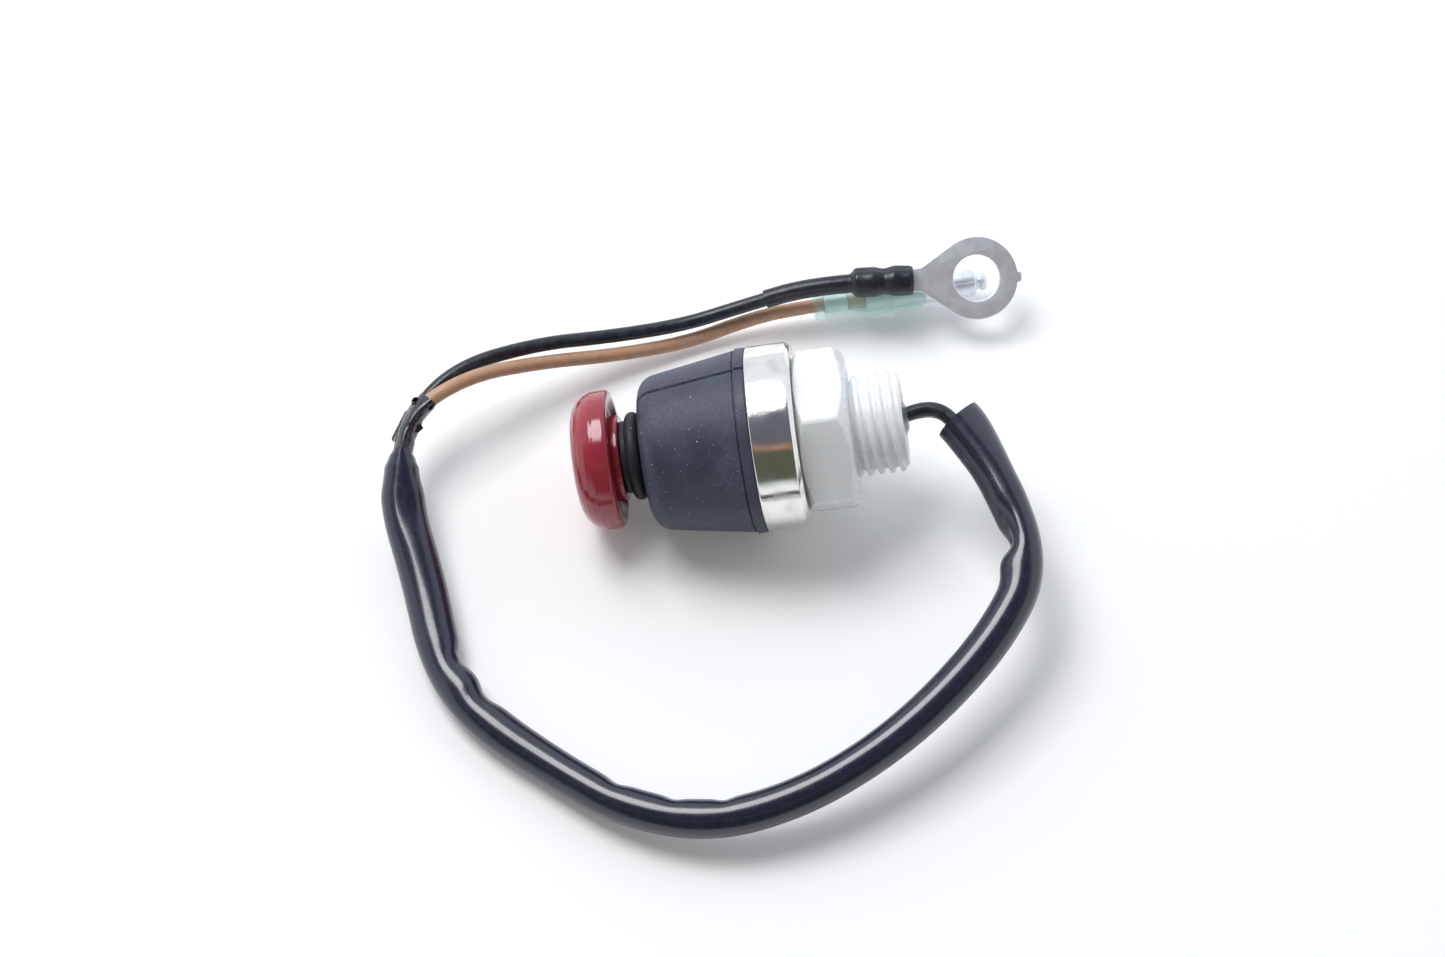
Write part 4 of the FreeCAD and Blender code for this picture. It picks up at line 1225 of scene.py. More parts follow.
@dataclass
class TapeWrap(SubAssembly):
    """Black tape wound round both wires where the sleeve ends, with loose ends."""

    start_back: float = 1.2
    length: float = 8.6
    skin: float = 0.3
    edge_step: float = 0.12
    waviness: float = 0.03
    turn_pitch: float = 3.1
    flap_thickness: float = 0.13
    flap_steps: int = 16
    flap_taper: float = 0.2
    flaps: tuple[tuple[float, Flap], ...] = (
        (0.45, Flap(0.95, 0.5, 1.0, 0.1, 0.65, 5.0, 0.8)),
        (0.78, Flap(1.1, 1.0, 0.7, 0.7, 2.3, 1.1, 4.2, True)),
        (0.55, Flap(-0.5, 0.9, -1.0, -0.45, 1.5, 1.3, -0.5)),
        (0.92, Flap(-1.2, 0.9, -1.0, 0.1, 0.9, 1.4, 1.2))
    )

    def pair_line(self, lead: Lead, start: Vector) -> tuple[list[Vector], list[Vector], list[float]]:
        """Return the line midway between the wires past the sleeve's end.

        Args:
            lead: the lead.
            start: the sleeve's end.

        Returns:
            The line's points, the directions from the brown wire to the black one, and half their gaps.
        """
        black = lead.wire_line(Wire.BLACK)
        brown = lead.wire_line(Wire.BROWN)
        index = min(range(len(black)), key=lambda number: (black[number] - start).length)
        total = 0.0
        while index > 0 and total > -self.start_back:
            total -= (black[index] - black[index - 1]).length
            index -= 1
        points, across, gaps = [], [], []
        while total < self.length:
            partner = min(brown, key=lambda point: (point - black[index]).length)
            points.append((black[index] + partner) * 0.5)
            apart = black[index] - partner
            across.append(apart.normalized())
            gaps.append(apart.length / 2.0)
            total += (black[index + 1] - black[index]).length
            index += 1
        return points, across, gaps

    def make(self, lead: Lead, sleeve_line: Spine) -> Piece:
        """Make the wrap and its loose ends as one piece.

        Args:
            lead: the lead.
            sleeve_line: the line that the sleeve follows.

        Returns:
            The tape.
        """
        points, across, gaps = self.pair_line(lead, sleeve_line.points[-1])
        spine = Spine(points, across)
        reach = lead.wire_radius + self.skin

        def section(place: float, angle: float) -> Pair:
            """Return the reach round both wires, stepped where the tape's edge winds round.

            Args:
                place: the distance along the line.
                angle: the angle round it.

            Returns:
                The reach to the side and upwards.
            """
            gap = gaps[min(range(len(gaps)), key=lambda index: abs(spine.places[index] - place))]
            phase = (place / self.turn_pitch + angle / FULL_TURN) % 1.0
            wound = reach + self.edge_step * phase + self.waviness * math.sin(5.0 * angle + place * 1.7)
            return wound * math.cos(angle), (wound + gap * abs(math.sin(angle))) * math.sin(angle)

        made = bmesh.new()
        add_grid(made, spine.rows(section, 48), Ends.CAPPED)
        for share, flap in self.flaps:
            index = round(share * (len(points) - 1))
            along = (points[min(index + 1, len(points) - 1)] - points[max(index - 1, 0)]).normalized()
            left = UP.cross(along).normalized()
            root = points[index] + left * flap.leftward + UP * flap.raised
            out = left * flap.out_left + along * flap.out_along
            self.add_flap(made, root, out, UP if flap.on_edge else along, flap)
        mesh = finish_mesh(made, sharp_deg=40.0)
        return self.bench.set_down("tape_wrap", mesh, Slot.BLACK_TAPE, "wrap_tape", matrix=IN_PLACE)

    def add_flap(self, made: Form, root: Vector, out: Vector, along: Vector, flap: Flap) -> None:
        """Add a loose strip of tape that stands off and curls.

        Args:
            made: the form that receives it.
            root: the middle of its fixed edge.
            out: the way that it stands off.
            along: the way that its edge runs.
            flap: its sizes.
        """
        out = out.normalized()
        along = (along - out * along.dot(out)).normalized()
        over = out.cross(along)
        bend = flap.reach / flap.turn
        rows = []
        for index in range(self.flap_steps + 1):
            share = index / self.flap_steps
            turned = flap.turn * index / self.flap_steps
            middle = root + out * (bend * math.sin(turned)) + over * (bend * (1.0 - math.cos(turned)))
            outward = over * math.cos(turned) - out * math.sin(turned)
            half = flap.width / 2.0 * (1.0 - self.flap_taper * share**2)
            thick = outward * (self.flap_thickness / 2.0)
            low, high = middle - thick, middle + thick
            rows.append([low - along * half, low + along * half, high + along * half, high - along * half])
        add_grid(made, rows, Ends.CAPPED)


# The terminals


@dataclass
class RingEnd(SubAssembly):
    """The ring terminal on the black wire and the shrunk tube over its barrel."""

    axis_point: Point = (13.2, 27.6, 8.7)
    heading: float = -0.03
    roll_deg: float = 35.0
    centre_x: float = 35.76
    ring_radius: float = 5.95
    hole_radius: float = 3.3
    hole_points: int = 96
    rim_points: int = 44
    thickness: float = 0.8
    neck_half: float = 1.65
    neck_reach: float = 8.0
    barrel_end: float = 9.2
    barrel_length: float = 8.3
    barrel_radius: float = 1.7
    bore: float = 1.0
    front_crimp: float = 3.1
    rear_crimp_end: float = -13.7
    crimp_pinch: float = 0.22
    tab_half: float = 0.7
    tab_length: float = 0.5
    edge: float = 0.14
    tube_start_x: float = 5.3
    tube_near_y: float = 20.0
    extra_points: int = 6
    tube_thick_length: float = 9.0
    tube_thin_radius: float = 1.32
    tube_thick_radius: float = 2.2
    tube_shoulder: float = 1.0
    tube_form: tuple[Pair, ...] = ((1.0, 0.06), (3.3, 0.0), (4.8, 0.34), (6.3, 0.0))
    tube_lip: tuple[Pair, ...] = ((0.5, 0.02), (0.0, 0.22))
    tube_groove: float = 0.16
    tube_groove_at: float = math.radians(62.0)
    tube_wave: float = 0.03
    tube_wall: float = 0.28
    tube_step: float = 0.25

    def on_axis(self, x: float) -> Vector:
        """Return the place on the barrel's axis at a given X."""
        start = Vector(self.axis_point)
        return start + Vector((1.0, self.heading, 0.0)) * (x - start.x)

    def turn(self) -> Matrix:
        """Return the ring's turn: its heading and its roll."""
        heading = Matrix.Rotation(math.atan(self.heading), 3, "Z")
        return heading @ Matrix.Rotation(math.radians(self.roll_deg), 3, "X")

    def matrix(self) -> Matrix:
        """Return the matrix from the ring's own directions to the frame, in metres.

        Returns:
            The matrix.
        """
        turn = self.turn()
        drop = self.barrel_radius - self.thickness / 2.0
        centre = self.on_axis(self.centre_x) - turn @ Vector((0.0, 0.0, drop))
        return Matrix.Translation(centre * MM) @ turn.to_4x4()

    def plate_outline(self) -> list[Pair]:
        """Return the outline of ring, flared tongue and carrier tab, seen from above.

        Returns:
            Points of X and Y, in order.
        """
        reach = math.hypot(self.neck_reach, self.neck_half)
        bearing = math.atan2(self.neck_half, -self.neck_reach) - math.acos(self.ring_radius / reach)
        upper = []
        tab_angle = math.asin(self.tab_half / self.ring_radius)
        for index in range(self.rim_points + 1):
            angle = tab_angle + (bearing - tab_angle) * index / self.rim_points
            upper.append((self.ring_radius * math.cos(angle), self.ring_radius * math.sin(angle)))
        tab_x = self.ring_radius + self.tab_length
        start = [(tab_x, self.tab_half * 0.75)]
        neck = [(-self.neck_reach, self.neck_half), (-self.barrel_end, self.neck_half * 0.92)]
        half = start + upper + neck
        return half + [(x, -y) for x, y in reversed(half)]

    def make_ring(self) -> Piece:
        """Make the flat ring with rounded edges, and the closed crimps behind it.

        Returns:
            The ring terminal.
        """
        data = bpy.data.curves.new("ring_outline", "CURVE")
        data.dimensions = "2D"
        data.fill_mode = "BOTH"
        data.extrude = (self.thickness / 2.0 - self.edge) * MM
        data.bevel_depth = self.edge * MM
        data.bevel_resolution = 3
        turns = [FULL_TURN * index / self.hole_points for index in range(self.hole_points)]
        hole = [(self.hole_radius * math.cos(turn), self.hole_radius * math.sin(turn)) for turn in turns]
        for inset, loop in ((-self.edge, self.plate_outline()), (self.edge, hole)):
            spline = data.splines.new("POLY")
            spline.points.add(len(loop) - 1)
            spline.use_cyclic_u = True
            for point, (x, y) in zip(spline.points, loop):
                reach = math.hypot(x, y)
                kept = (reach + inset) / reach
                point.co = (x * kept * MM, y * kept * MM, 0.0, 1.0)
        flat = linked("ring_outline", data)
        bpy.context.view_layer.update()
        plate = bpy.data.meshes.new_from_object(flat)
        bpy.data.objects.remove(flat)
        made = bmesh.new()
        made.from_mesh(plate)
        bpy.data.meshes.remove(plate)
        axis = UP * (self.barrel_radius - self.thickness / 2.0)
        crimps = (
            (-self.barrel_end - self.front_crimp, -self.barrel_end),
            (-self.barrel_end - self.barrel_length, self.rear_crimp_end)
        )
        for start, end in crimps:
            outline = outline_points([
                (start, self.bore), (start, self.barrel_radius, 0.2), (end, self.barrel_radius, 0.3),
                (end, self.bore)
            ], 0.5)
            rows = turned_rows(outline, even_angles(48), self.crimp_relief)
            add_grid(made, [[point + axis for point in row] for row in rows], Ends.JOINED)
        mesh = finish_mesh(made, sharp_deg=40.0)
        return self.bench.set_down("ring_eye", mesh, Slot.TINNED_METAL, "ring_terminal", matrix=self.matrix())

    def crimp_relief(self, place: float, angle: float, radius: float) -> float:
        """Return a crimp's radius, pinched along the top where its two edges meet.

        Args:
            place: the place along the axis, not used.
            angle: the angle round it.
            radius: the plain radius.

        Returns:
            The radius.
        """
        if radius < self.barrel_radius * 0.7:
            return radius
        return radius - self.crimp_pinch * bump_at(angle_gap(angle, 0.0), 0.0, 0.3)

    def make_tube(self, lead: Lead) -> Piece:
        """Make the shrunk tube, which shows the shape of the crimps under it.

        Args:
            lead: the lead.

        Returns:
            The tube.
        """
        line = lead.wire_line(Wire.BLACK)
        points = [point for point in line if point.x > self.tube_start_x and point.y > self.tube_near_y]
        start, end = points[-1].x, self.centre_x - self.barrel_end
        points += [
            self.on_axis(start + (end - start) * part / self.extra_points)
            for part in range(1, self.extra_points + 1)
        ]
        spine = Spine(self.fine(points))
        thick_start = spine.length - self.tube_thick_length
        stops = [(0.0, self.tube_thin_radius), (thick_start, self.tube_thin_radius + 0.03)]
        stops += [(thick_start + along, self.tube_thick_radius - less) for along, less in self.tube_form]
        stops += [(spine.length - back, self.tube_thick_radius - less) for back, less in self.tube_lip]

        def section(place: float, angle: float) -> Pair:
            """Return the tube's reach, a little flat over the crimps.

            Args:
                place: the distance along the line.
                angle: the angle round it.

            Returns:
                The reach to the side and upwards.
            """
            radius = between(stops, place)
            over_crimp = eased(place, thick_start, thick_start + self.tube_shoulder)
            groove = self.tube_groove * over_crimp * bump_at(angle_gap(angle, self.tube_groove_at), 0.0, 0.28)
            wave = self.tube_wave * math.sin(place * 2.3 + 2.0 * angle)
            radius = radius - groove + wave * over_crimp
            return radius * math.cos(angle), radius * math.sin(angle) * (1.0 - 0.04 * over_crimp)

        mesh = swept_mesh(spine, section, 56, self.tube_wall)
        return self.bench.set_down("shrunk_tube", mesh, Slot.BLACK_SHRINK, "heat_shrink", matrix=IN_PLACE)

    def fine(self, points: Sequence[Vector]) -> list[Vector]:
        """Return the same line with points no further apart than the tube's step.

        Args:
            points: the line.

        Returns:
            The line, divided further.
        """
        close: list[Vector] = []
        for before, after in zip(points[:-1], points[1:]):
            parts = max(1, math.ceil((after - before).length / self.tube_step))
            close += [before.lerp(after, part / parts) for part in range(parts)]
        return close + [points[-1]]


@dataclass
class BulletEnd(SubAssembly):
    """The bullet terminal on the brown wire and its clear green sleeve."""

    start: Point = (12.5, 27.4, 3.2)
    heading: float = 0.1
    bullet_radius: float = 1.95
    wire_radius: float = 1.0
    bore: float = 1.5
    body_start: float = 7.5
    crimp_radius: float = 1.75
    crimp_end: float = 15.85
    crimp_step: float = 0.2
    groove_start: float = 23.9
    groove_width: float = 0.5
    groove_radius: float = 1.0
    nose_radius: float = 1.25
    tip: float = 25.4
    seam: float = math.radians(332.0)
    seam_depth: float = 0.13
    solid_from: float = 20.0
    strip_half: float = 0.8
    strip_thickness: float = 0.4
    strip_line: tuple[Pair, ...] = ((4.6, 1.35), (5.4, 1.4), (7.3, 1.65), (7.9, 1.7))
    grip_start: float = 1.5
    grip_end: float = 4.8
    grip_radius: float = 1.4
    sleeve_length: float = 15.8
    flange_start: float = 10.3
    flange_end: float = 11.5
    flange_radius: float = 3.2
    belly_radius: float = 3.0
    waist_radius: float = 1.95
    mouth_radius: float = 2.15
    mouth_length: float = 1.5
    waist_at: float = 5.2
    belly_at: float = 8.2
    nose_root: float = 2.5
    nose_end: float = 2.3
    line_height: float = 0.05
    fit: float = 0.05
    mould_line: float = 0.6

    def matrix(self) -> Matrix:
        """Return the matrix from the bullet's own directions to the frame, in metres."""
        turn = Matrix.Rotation(math.atan(self.heading), 4, "Z")
        return Matrix.Translation(Vector(self.start) * MM) @ turn

    def seam_relief(self, place: float, angle: float, radius: float) -> float:
        """Return the bullet's radius, with the fine groove where the rolled strip meets.

        Args:
            place: the place along the axis.
            angle: the angle round it.
            radius: the plain radius.

        Returns:
            The radius.
        """
        if radius < self.groove_radius or place < self.body_start:
            return radius
        return radius - self.seam_depth * bump_at(angle_gap(angle, self.seam), 0.0, 0.05)

    def make_bullet(self) -> Piece:
        """Make the rolled bullet and the grip on the wire's insulation.

        Returns:
            The bullet terminal.
        """
        radius = self.bullet_radius
        groove_end = self.groove_start + self.groove_width
        body = outline_points([
            (self.body_start, self.bore), (self.body_start, self.crimp_radius, 0.1),
            (self.crimp_end, self.crimp_radius), (self.crimp_end + self.crimp_step, radius),
            (self.groove_start - 0.5, radius, 0.15), (self.groove_start, self.groove_radius, 0.1),
            (groove_end, self.groove_radius, 0.1), (groove_end, self.nose_radius, 0.1),
            (self.tip, self.nose_radius, 0.6), (self.tip, 0.0), (self.solid_from, 0.0),
            (self.solid_from, self.bore)
        ], 0.4)
        grip = outline_points([
            (self.grip_start, self.wire_radius), (self.grip_start, self.grip_radius, 0.15),
            (self.grip_end, self.grip_radius, 0.15), (self.grip_end, self.wire_radius)
        ], 0.4)
        angles = even_angles(72, [self.seam], 0.16)
        made = bmesh.new()
        add_grid(made, turned_rows(body, angles, self.seam_relief), Ends.JOINED)
        add_grid(made, turned_rows(grip, angles, None), Ends.JOINED)
        half, thick = self.strip_half, self.strip_thickness
        around = ((-half, 0.0), (half, 0.0), (half, thick), (-half, thick))
        strip = [[Vector((place, side, up - low)) for side, up in around] for place, low in self.strip_line]
        add_grid(made, strip, Ends.CAPPED)
        mesh = finish_mesh(made)
        return self.bench.set_down(
            "bullet_pin", mesh, Slot.TINNED_METAL, "bullet_terminal", matrix=self.matrix()
        )

    def make_sleeve(self) -> Piece:
        """Make the clear sleeve: grip end, waist, belly, flange and nose.

        Returns:
            The clear sleeve.
        """
        bore = self.bullet_radius + self.fit
        grip = self.grip_radius + self.fit
        lines = (self.mould_line, self.mould_line + math.pi)
        outline = outline_points([
            (0.0, self.wire_radius + self.fit), (0.0, self.mouth_radius, 0.3),
            (self.mouth_length, self.mouth_radius, 1.0), (self.waist_at, self.waist_radius, 1.0),
            (self.belly_at, self.belly_radius, 1.2), (self.flange_start - 0.1, self.belly_radius, 0.2),
            (self.flange_start, self.flange_radius, 0.2), (self.flange_end, self.flange_radius, 0.3),
            (self.flange_end + 0.15, self.nose_root, 0.15), (self.sleeve_length, self.nose_end, 0.2),
            (self.sleeve_length, bore), (self.body_start - self.fit, bore), (self.waist_at, grip),
            (self.grip_start - self.fit, grip), (self.grip_start - self.fit, self.wire_radius + self.fit)
        ], 0.4)

        def relief(place: float, angle: float, radius: float) -> float:
            """Return the sleeve's radius, with two mould lines along its outside.

            Args:
                place: the place along the axis, not used.
                angle: the angle round it.
                radius: the plain radius.

            Returns:
                The radius.
            """
            gap = min(angle_gap(angle, line) for line in lines)
            height = self.line_height if radius >= self.waist_radius - 0.05 else 0.0
            return radius + height * bump_at(gap, 0.0, 0.05)

        mesh = turned_mesh(outline, even_angles(96, lines, 0.12), relief)
        return self.bench.set_down(
            "mint_sleeve", mesh, Slot.GREEN_VINYL, "bullet_sleeve", matrix=self.matrix()
        )


# The switch


@dataclass
class PullKnob(SubAssembly):
    """The red mushroom knob and the rubber bellows behind it."""

    radius: float = 9.65
    front: float = -31.2
    back: float = -25.7
    corner: float = 3.6
    dome: float = 0.4
    dome_rings: int = 13
    parting_height: float = 0.045
    back_edge: float = 0.7
    rim_width: float = 1.25
    recess: float = 0.8
    collar_radius: float = 5.925
    collar_end: float = -24.75
    bore: float = 1.5
    bore_depth: float = 4.2
    parting: float = -28.15
    cuff_width: float = 0.82
    cuff_radius: float = 5.0
    cuff_clearance: float = 0.3
    flange_width: float = 0.8
    fold_round: float = 0.93
    fold_radius: float = 6.1
    fold_width: float = 1.9
    fold_wall: float = 0.6
    neck_radius: float = 4.2
    neck_bore: float = 2.9
    flange_radius: float = 5.3
    cover_front: float = -21.6
    barrel_front: float = -20.0

    def knob_relief(self, place: float, angle: float, radius: float) -> float:
        """Return the knob's radius, with the moulding line round its rim.

        Args:
            place: the place along the axis.
            angle: the angle round it, not used.
            radius: the plain radius.

        Returns:
            The radius.
        """
        if radius < self.radius - 1.5:
            return radius
        return radius + self.parting_height * bump_at(place, self.parting, 0.1)

    def make_knob(self) -> None:
        """Make the knob: domed front, rolled rim, dished back and collar."""
        flat = self.radius - self.corner
        shares = [index / self.dome_rings for index in range(self.dome_rings)]
        dome = [(self.front - self.dome * (1.0 - share * share), flat * share) for share in shares]
        rim = outline_points([
            (self.front, flat), (self.front, self.radius, self.corner),
            (self.back, self.radius, self.back_edge), (self.back, self.radius - self.rim_width, 0.25),
            (self.back - self.recess, self.radius - self.rim_width - self.recess, 0.5),
            (self.back - self.recess, self.collar_radius, 0.3), (self.collar_end, self.collar_radius, 0.25),
            (self.collar_end, self.bore), (self.collar_end - self.bore_depth, self.bore),
            (self.collar_end - self.bore_depth, 0.0)
        ], 0.1, closed=False)
        mesh = turned_mesh(dome + rim, even_angles(144), self.knob_relief)
        self.bench.set_down("mushroom_knob", mesh, Slot.RED_PLASTIC, "red_knob", Body.PLUNGER)

    def make_bellows(self) -> None:
        """Make the bellows, which stretches between the cover and the knob."""
        fold_front = self.collar_end + self.cuff_width
        fold_back = fold_front + self.fold_width
        cuff_bore = self.bore + self.cuff_clearance
        wall = self.fold_wall
        inner = self.fold_radius - wall
        outline = outline_points([
            (self.barrel_front + self.flange_width, self.neck_bore),
            (self.barrel_front + self.flange_width, self.flange_radius),
            (self.barrel_front, self.flange_radius), (self.barrel_front, self.neck_radius),
            (fold_back, self.neck_radius, 0.25), (fold_back, self.fold_radius, self.fold_round),
            (fold_front, self.fold_radius, self.fold_round), (fold_front, self.cuff_radius, 0.1),
            (self.collar_end, self.cuff_radius, 0.3), (self.collar_end, cuff_bore), (fold_front, cuff_bore),
            (fold_front + wall, self.neck_bore), (fold_front + wall, inner, self.fold_round - wall),
            (fold_back - wall, inner, self.fold_round - wall), (fold_back - wall, self.neck_bore)
        ], 0.25)
        mesh = turned_mesh(outline, even_angles(120))
        made = self.bench.set_down("rubber_bellows", mesh, Slot.BLACK_RUBBER, "bellows_seal", None)
        start = AXIS.place(self.cover_front) * MM
        end = AXIS.place(fold_front) * MM
        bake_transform(made)


@dataclass
class CoveredBody(SubAssembly):
    """The charcoal rubber cover and the plated ring that clamps its foot."""

    cover_front: float = -21.6
    cover_wall: float = 1.6
    front_radius: float = 10.4
    base_radius: float = 12.6
    corner: float = 2.8
    hole: float = 4.2
    barrel: float = 9.0
    lip_radius: float = 12.8
    lip_width: float = 1.4
    groove_width: float = 0.2
    groove_depth: float = 0.22
    ring_front: float = -6.2
    ring_radius: float = 12.85
    ring_wall: float = 0.75
    ring_back: float = 0.8
    ring_chamfer: float = 0.6
    ring_edge: float = 0.3
    ring_waves: float = 0.012
    stem_hole: float = 7.05
    flange_front: float = -3.0
    seam: float = math.radians(20.5)
    seam_height: float = 0.5
    seam_half_angle: float = 0.019
    waviness: float = 0.03

    def cover_relief(self, place: float, angle: float, radius: float) -> float:
        """Return the cover's radius, with a moulding line along each side.

        Args:
            place: the place along the axis.
            angle: the angle round it.
            radius: the plain radius.

        Returns:
            The radius.
        """
        if radius < self.barrel + 0.5 or place < self.cover_front + 0.4:
            return radius
        gap = min(angle_gap(angle, self.seam), angle_gap(angle, self.seam + math.pi))
        fade = eased(place, self.ring_front - 1.0, self.ring_front - 5.0)
        soft = self.waviness * math.sin(3.0 * angle + 1.0) * fade
        return radius - self.seam_height * bump_at(gap, 0.0, self.seam_half_angle) + soft

    def make_cover(self) -> None:
        """Make the rubber cover."""
        lip = self.ring_front - self.lip_width
        foot = self.ring_radius - self.ring_wall
        outline = outline_points([
            (self.cover_front, self.hole, 0.3), (self.cover_front, self.front_radius, self.corner),
            (lip - self.groove_width - 0.1, self.base_radius - 0.03, 0.1),
            (lip - self.groove_width, self.base_radius - self.groove_depth),
            (lip, self.base_radius - self.groove_depth), (lip, self.lip_radius, 0.1),
            (self.ring_front, self.lip_radius, 0.2), (self.ring_front, foot), (self.flange_front, foot),
            (self.flange_front, self.barrel), (self.cover_front + self.cover_wall, self.barrel),
            (self.cover_front + self.cover_wall, self.hole)
        ], 0.45)
        angles = even_angles(160, [self.seam, self.seam + math.pi], 0.04)
        mesh = turned_mesh(outline, angles, self.cover_relief)
        self.bench.set_down("cover", mesh, Slot.CHARCOAL_RUBBER, "rubber_cover")

    def ring_relief(self, place: float, angle: float, radius: float) -> float:
        """Return the ring's radius, with the faint waves of its rolled band.

        Args:
            place: the place along the axis.
            angle: the angle round it.
            radius: the plain radius.

        Returns:
            The radius.
        """
        if radius < self.ring_radius - 0.4:
            return radius
        wave = 1.0 + math.sin(7.0 * angle + 0.8 * place)
        return radius - self.ring_waves * wave * (radius / self.ring_radius)

    def make_ring(self) -> None:
        """Make the plated ring cup."""
        inner = self.ring_radius - self.ring_wall
        outline = outline_points([
            (self.ring_front, inner), (self.ring_front, self.ring_radius, self.ring_edge),
            (-self.ring_chamfer, self.ring_radius, 0.25), (0.0, self.ring_radius - self.ring_chamfer, 0.2),
            (0.0, self.stem_hole), (-self.ring_back, self.stem_hole), (-self.ring_back, inner)
        ], 0.4)
        mesh = turned_mesh(outline, even_angles(180), self.ring_relief)
        self.bench.set_down("plated_ring", mesh, Slot.PLATED_METAL, "clamp_ring")


@dataclass
class ThreadedStem(SubAssembly):
    """The nylon housing with its threaded stem, the resin in the stem's end and the nut."""

    pitch: float = 1.5
    crest_radius: float = 6.95
    depth: float = 0.74
    crest_share: float = 0.12
    root_share: float = 0.4
    stem_length: float = 14.2
    end_chamfer: float = 0.9
    thread_start: float = 1.4
    run_in: float = 0.6
    run_out: float = 0.8
    thread_step: float = 0.09
    bore: float = 4.9
    barrel_front: float = -20.0
    barrel: float = 9.0
    chamber: float = 7.4
    chamber_bottom: float = -2.0
    flange_front: float = -3.0
    flange_back: float = -0.8
    flange_radius: float = 12.1
    shoulder: float = 7.05
    nut_flats: float = 21.0
    nut_thickness: float = 7.1
    nut_bore: float = 7.0
    nut_inner_face: float = 10.3
    nut_outer_face: float = 9.7
    nut_corner_radius: float = 11.98
    nut_vertex_deg: float = 23.6
    nut_chamfer_deg: float = 30.0
    resin_depth: float = 8.5
    resin_height: float = 0.7
    resin_sunk: float = 0.14
    resin_rings: int = 22
    nut_edge: float = 0.22
    flank_parts: int = 8
    wires_at: Pair = (0.3, 0.0)
    near: Pair = (1.15, 0.8)
    drawn_up: float = 1.3
    fall: float = 1.1
    rim_rise: float = 0.12

    def thread_relief(self, place: float, angle: float, radius: float) -> float:
        """Return the stem's radius with a right-hand thread cut into it.

        Args:
            place: the place along the axis.
            angle: the angle round it.
            radius: the plain radius.

        Returns:
            The radius.
        """
        if place < self.thread_start - self.run_in or radius < self.bore + 0.8:
            return radius
        phase = (place / self.pitch + angle / FULL_TURN) % 1.0
        from_crest = abs(phase - 0.5)
        cut = eased(from_crest, self.crest_share, self.root_share) * self.depth
        fade = eased(place, self.thread_start - self.run_in, self.thread_start + self.run_out)
        limit = self.crest_radius - max(0.0, place - (self.stem_length - self.end_chamfer))
        return min(radius - cut * fade, limit)

    def make_housing(self) -> None:
        """Make the housing as one moulding, thread included."""
        corners = [
            (self.barrel_front, self.chamber), (self.barrel_front, self.barrel),
            (self.flange_front, self.barrel), (self.flange_front, self.flange_radius),
            (self.flange_back, self.flange_radius), (self.flange_back, self.shoulder), (0.0, self.shoulder),
            (0.1, self.crest_radius)
        ]
        stem = [(self.thread_start - self.run_in, self.crest_radius), (self.stem_length, self.crest_radius)]
        inside = [
            (self.stem_length, self.bore + 0.2), (self.stem_length - 0.2, self.bore),
            (self.chamber_bottom, self.bore), (self.chamber_bottom, self.chamber)
        ]
        fine = outline_points(stem, self.thread_step, closed=False)
        outline = corners + fine + inside
        mesh = turned_mesh(outline, even_angles(128), self.thread_relief)
        self.bench.set_down("threaded_housing", mesh, Slot.WHITE_NYLON, "housing")

    def make_resin(self) -> None:
        """Make the clear resin, drawn up round the wires where they leave."""
        angles = even_angles(72)
        rows = [
            [ring_point(self.stem_length - self.resin_depth, radius, angle) for angle in angles]
            for radius in (0.0, self.bore)
        ]
        for part in range(self.resin_rings, -1, -1):
            radius = self.bore * part / self.resin_rings
            row = []
            for angle in angles:
                across, up = radius * math.sin(angle), radius * math.cos(angle)
                aside = (across - self.wires_at[0]) * self.near[0]
                above = (up - self.wires_at[1]) * self.near[1]
                gap = math.hypot(aside, above)
                inner = 1.0 - eased(radius, self.bore - 0.9, self.bore)
                rise = self.resin_height * bump_at(max(gap - self.drawn_up, 0.0), 0.0, self.fall) * inner
                rim = self.rim_rise * eased(radius, self.bore - 1.0, self.bore)
                row.append(Vector((self.stem_length - self.resin_sunk + rise + rim, across, up)))
            rows.append(row)
        made = bmesh.new()
        add_grid(made, rows, Ends.OPEN)
        bmesh.ops.dissolve_degenerate(made, dist=1e-7, edges=made.edges)
        mesh = finish_mesh(made, sharp_deg=60.0)
        self.bench.set_down("resin_plug", mesh, Slot.CLEAR_RESIN, "potting_plug")

    def hex_reach(self, angle: float) -> float:
        """Return how far the hexagon reaches at an angle, its corners a little rounded.

        Args:
            angle: the angle round the axis.

        Returns:
            The distance from the axis.
        """
        turned = (angle + math.radians(self.nut_vertex_deg)) % math.radians(60.0)
        plain = self.nut_flats / 2.0 / math.cos(turned - math.radians(30.0))
        return min(plain, self.nut_corner_radius)

    def nut_column(self, angle: float) -> list[Pair]:
        """Return the nut's profile at an angle: bore, chamfered faces and flank.

        Args:
            angle: the angle round the axis.

        Returns:
            Points of place and radius.
        """
        slope = math.tan(math.radians(self.nut_chamfer_deg))
        edge, back = self.nut_edge, self.nut_thickness
        reach = self.hex_reach(angle)
        start = max(reach - self.nut_inner_face, 0.0) * slope
        end = back - max(reach - self.nut_outer_face, 0.0) * slope
        shares = [part / self.flank_parts for part in range(self.flank_parts + 1)]
        flank = [((start + edge) * (1.0 - share) + (end - edge) * share, reach) for share in shares]
        return [
            (0.5, self.nut_bore), (0.0, self.nut_bore + 0.5), (0.0, self.nut_inner_face - edge),
            (start, max(reach - edge * 0.3, self.nut_inner_face)), *flank,
            (end + edge * 0.25, reach - edge * 0.45), (back - 0.04, self.nut_outer_face + 0.02),
            (back, self.nut_outer_face - 0.2), (back, self.nut_bore + 0.6), (back - 0.6, self.nut_bore)
        ]

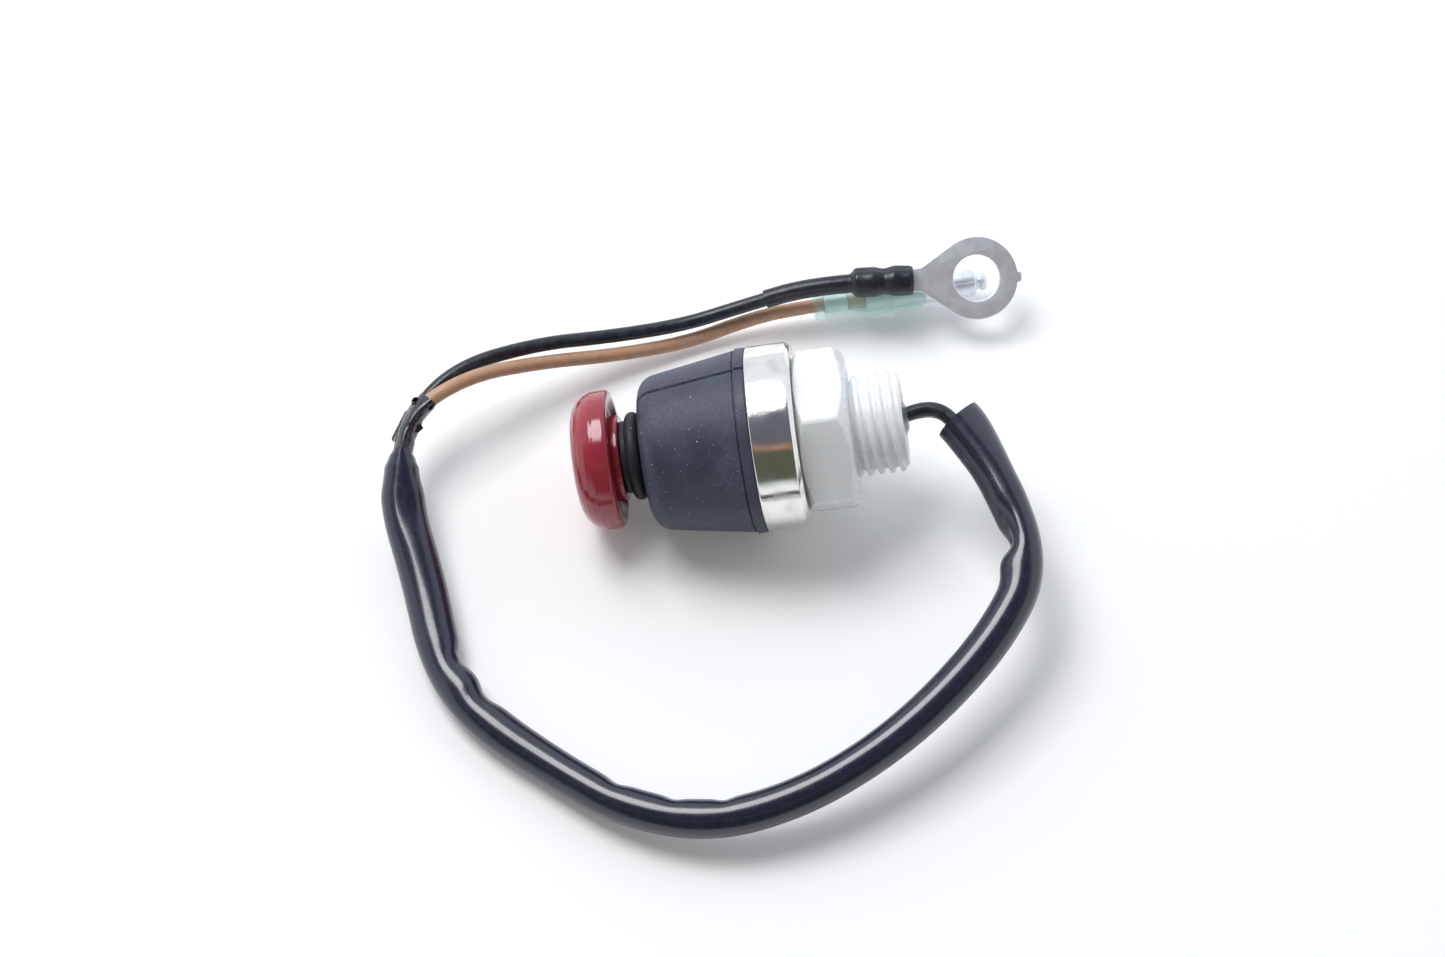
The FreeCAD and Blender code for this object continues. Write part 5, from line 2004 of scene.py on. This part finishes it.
    def make_nut(self) -> None:
        """Make the hexagon nut with its turned chamfers."""
        corners = [math.radians(60.0 * side - self.nut_vertex_deg) % FULL_TURN for side in range(6)]
        angles = even_angles(180, corners, 0.05)
        columns = [self.nut_column(angle) for angle in angles]
        made = bmesh.new()
        rows = [[ring_point(*spot, angle) for spot, angle in zip(level, angles)] for level in zip(*columns)]
        add_grid(made, rows, Ends.JOINED)
        self.bench.set_down(
            "hex_nut", finish_mesh(made, sharp_deg=24.0), Slot.WHITE_NYLON, "mounting_nut", Body.NUT
        )


@dataclass
class InnerWorks(SubAssembly):
    """The return spring and the parts inside the contact chamber."""

    spring_start: float = -16.4
    spring_end: float = -6.2
    wire: float = 0.6
    coil_radius: float = 2.9
    turns: float = 6.0
    turn_steps: int = 48
    end_gap: float = 0.05
    kept: tuple[tuple[str, Slot], ...] = (
        ("chamber_cap", Slot.WHITE_NYLON), ("guide_bush", Slot.BRASS), ("spindle", Slot.STEEL),
        ("retaining_clip", Slot.STEEL), ("contact_bridge", Slot.BRASS), ("spring_seat", Slot.BOARD),
        ("contact_base", Slot.BOARD), ("fixed_contact_live", Slot.BRASS), ("fixed_contact_ground", Slot.BRASS)
    )

    def make_spring(self) -> None:
        """Make the coil spring at rest; the mesh stays as it is when the knob is pulled."""
        start = self.spring_start + self.wire / 2.0 + self.end_gap
        end = self.spring_end - self.wire / 2.0 - self.end_gap
        steps = int(self.turns * self.turn_steps)
        points, ups = [], []
        for index in range(steps + 1):
            angle = FULL_TURN * self.turns * index / steps
            outward = Vector((0.0, math.cos(angle), math.sin(angle)))
            along = start + (end - start) * index / steps
            points.append(Vector((along, 0.0, 0.0)) + outward * self.coil_radius)
            ups.append(outward)
        radius = self.wire / 2.0
        mesh = swept_mesh(
            Spine(points, ups), lambda place, angle: (radius * math.cos(angle), radius * math.sin(angle)), 16
        )
        made = self.bench.set_down("coil_spring", mesh, Slot.STEEL, "return_spring", None)
        ends = AXIS.place(self.spring_start) * MM, AXIS.place(self.spring_end) * MM
        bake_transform(made)

    def dress_nodes(self) -> None:
        """Give the parts that stay as they are their materials."""
        for node, slot in self.kept:
            self.bench.keep_node(node, slot)


def declare_cords(lead: Lead) -> None:
    """Hide the frame's own two wires, which the lead's curves stand in for.

    Args:
        lead: the lead.
    """
    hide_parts("wire_black")
    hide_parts("wire_brown")
    leave_black = AXIS.place(lead.stem_length, *lead.black_exit) * MM
    leave_brown = AXIS.place(lead.stem_length, *lead.brown_exit) * MM


def main() -> None:
    """Build the scene, reporting each piece."""
    logging.basicConfig(level=logging.INFO, format="%(name)s: %(message)s")
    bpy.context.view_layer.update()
    stage = PhotoStage()
    stage.camera()
    bench = Bench()
    lead = Lead(bench)
    black = lead.make_wire("black_wire", Wire.BLACK, Slot.BLACK_INSULATION)
    brown = lead.make_wire("brown_wire", Wire.BROWN, Slot.BROWN_INSULATION)
    sleeve, line = lead.make_sleeve()
    ring_end = RingEnd(bench)
    bullet_end = BulletEnd(bench)
    pieces = {
        "tape": TapeWrap(bench).make(lead, line), "tube": ring_end.make_tube(lead),
        "ring": ring_end.make_ring(), "bullet": bullet_end.make_bullet(), "mint": bullet_end.make_sleeve()
    }
    declare_cords(lead)
    stage.light()
    stage.floor()
    stage.colours()
    knob = PullKnob(bench)
    knob.make_knob()
    knob.make_bellows()
    body = CoveredBody(bench)
    body.make_cover()
    body.make_ring()
    stem = ThreadedStem(bench)
    stem.make_housing()
    stem.make_resin()
    stem.make_nut()
    works = InnerWorks(bench)
    works.make_spring()
    works.dress_nodes()
    LOG.info("%d pieces", bench.count)


if __name__ == "__main__":
    main()
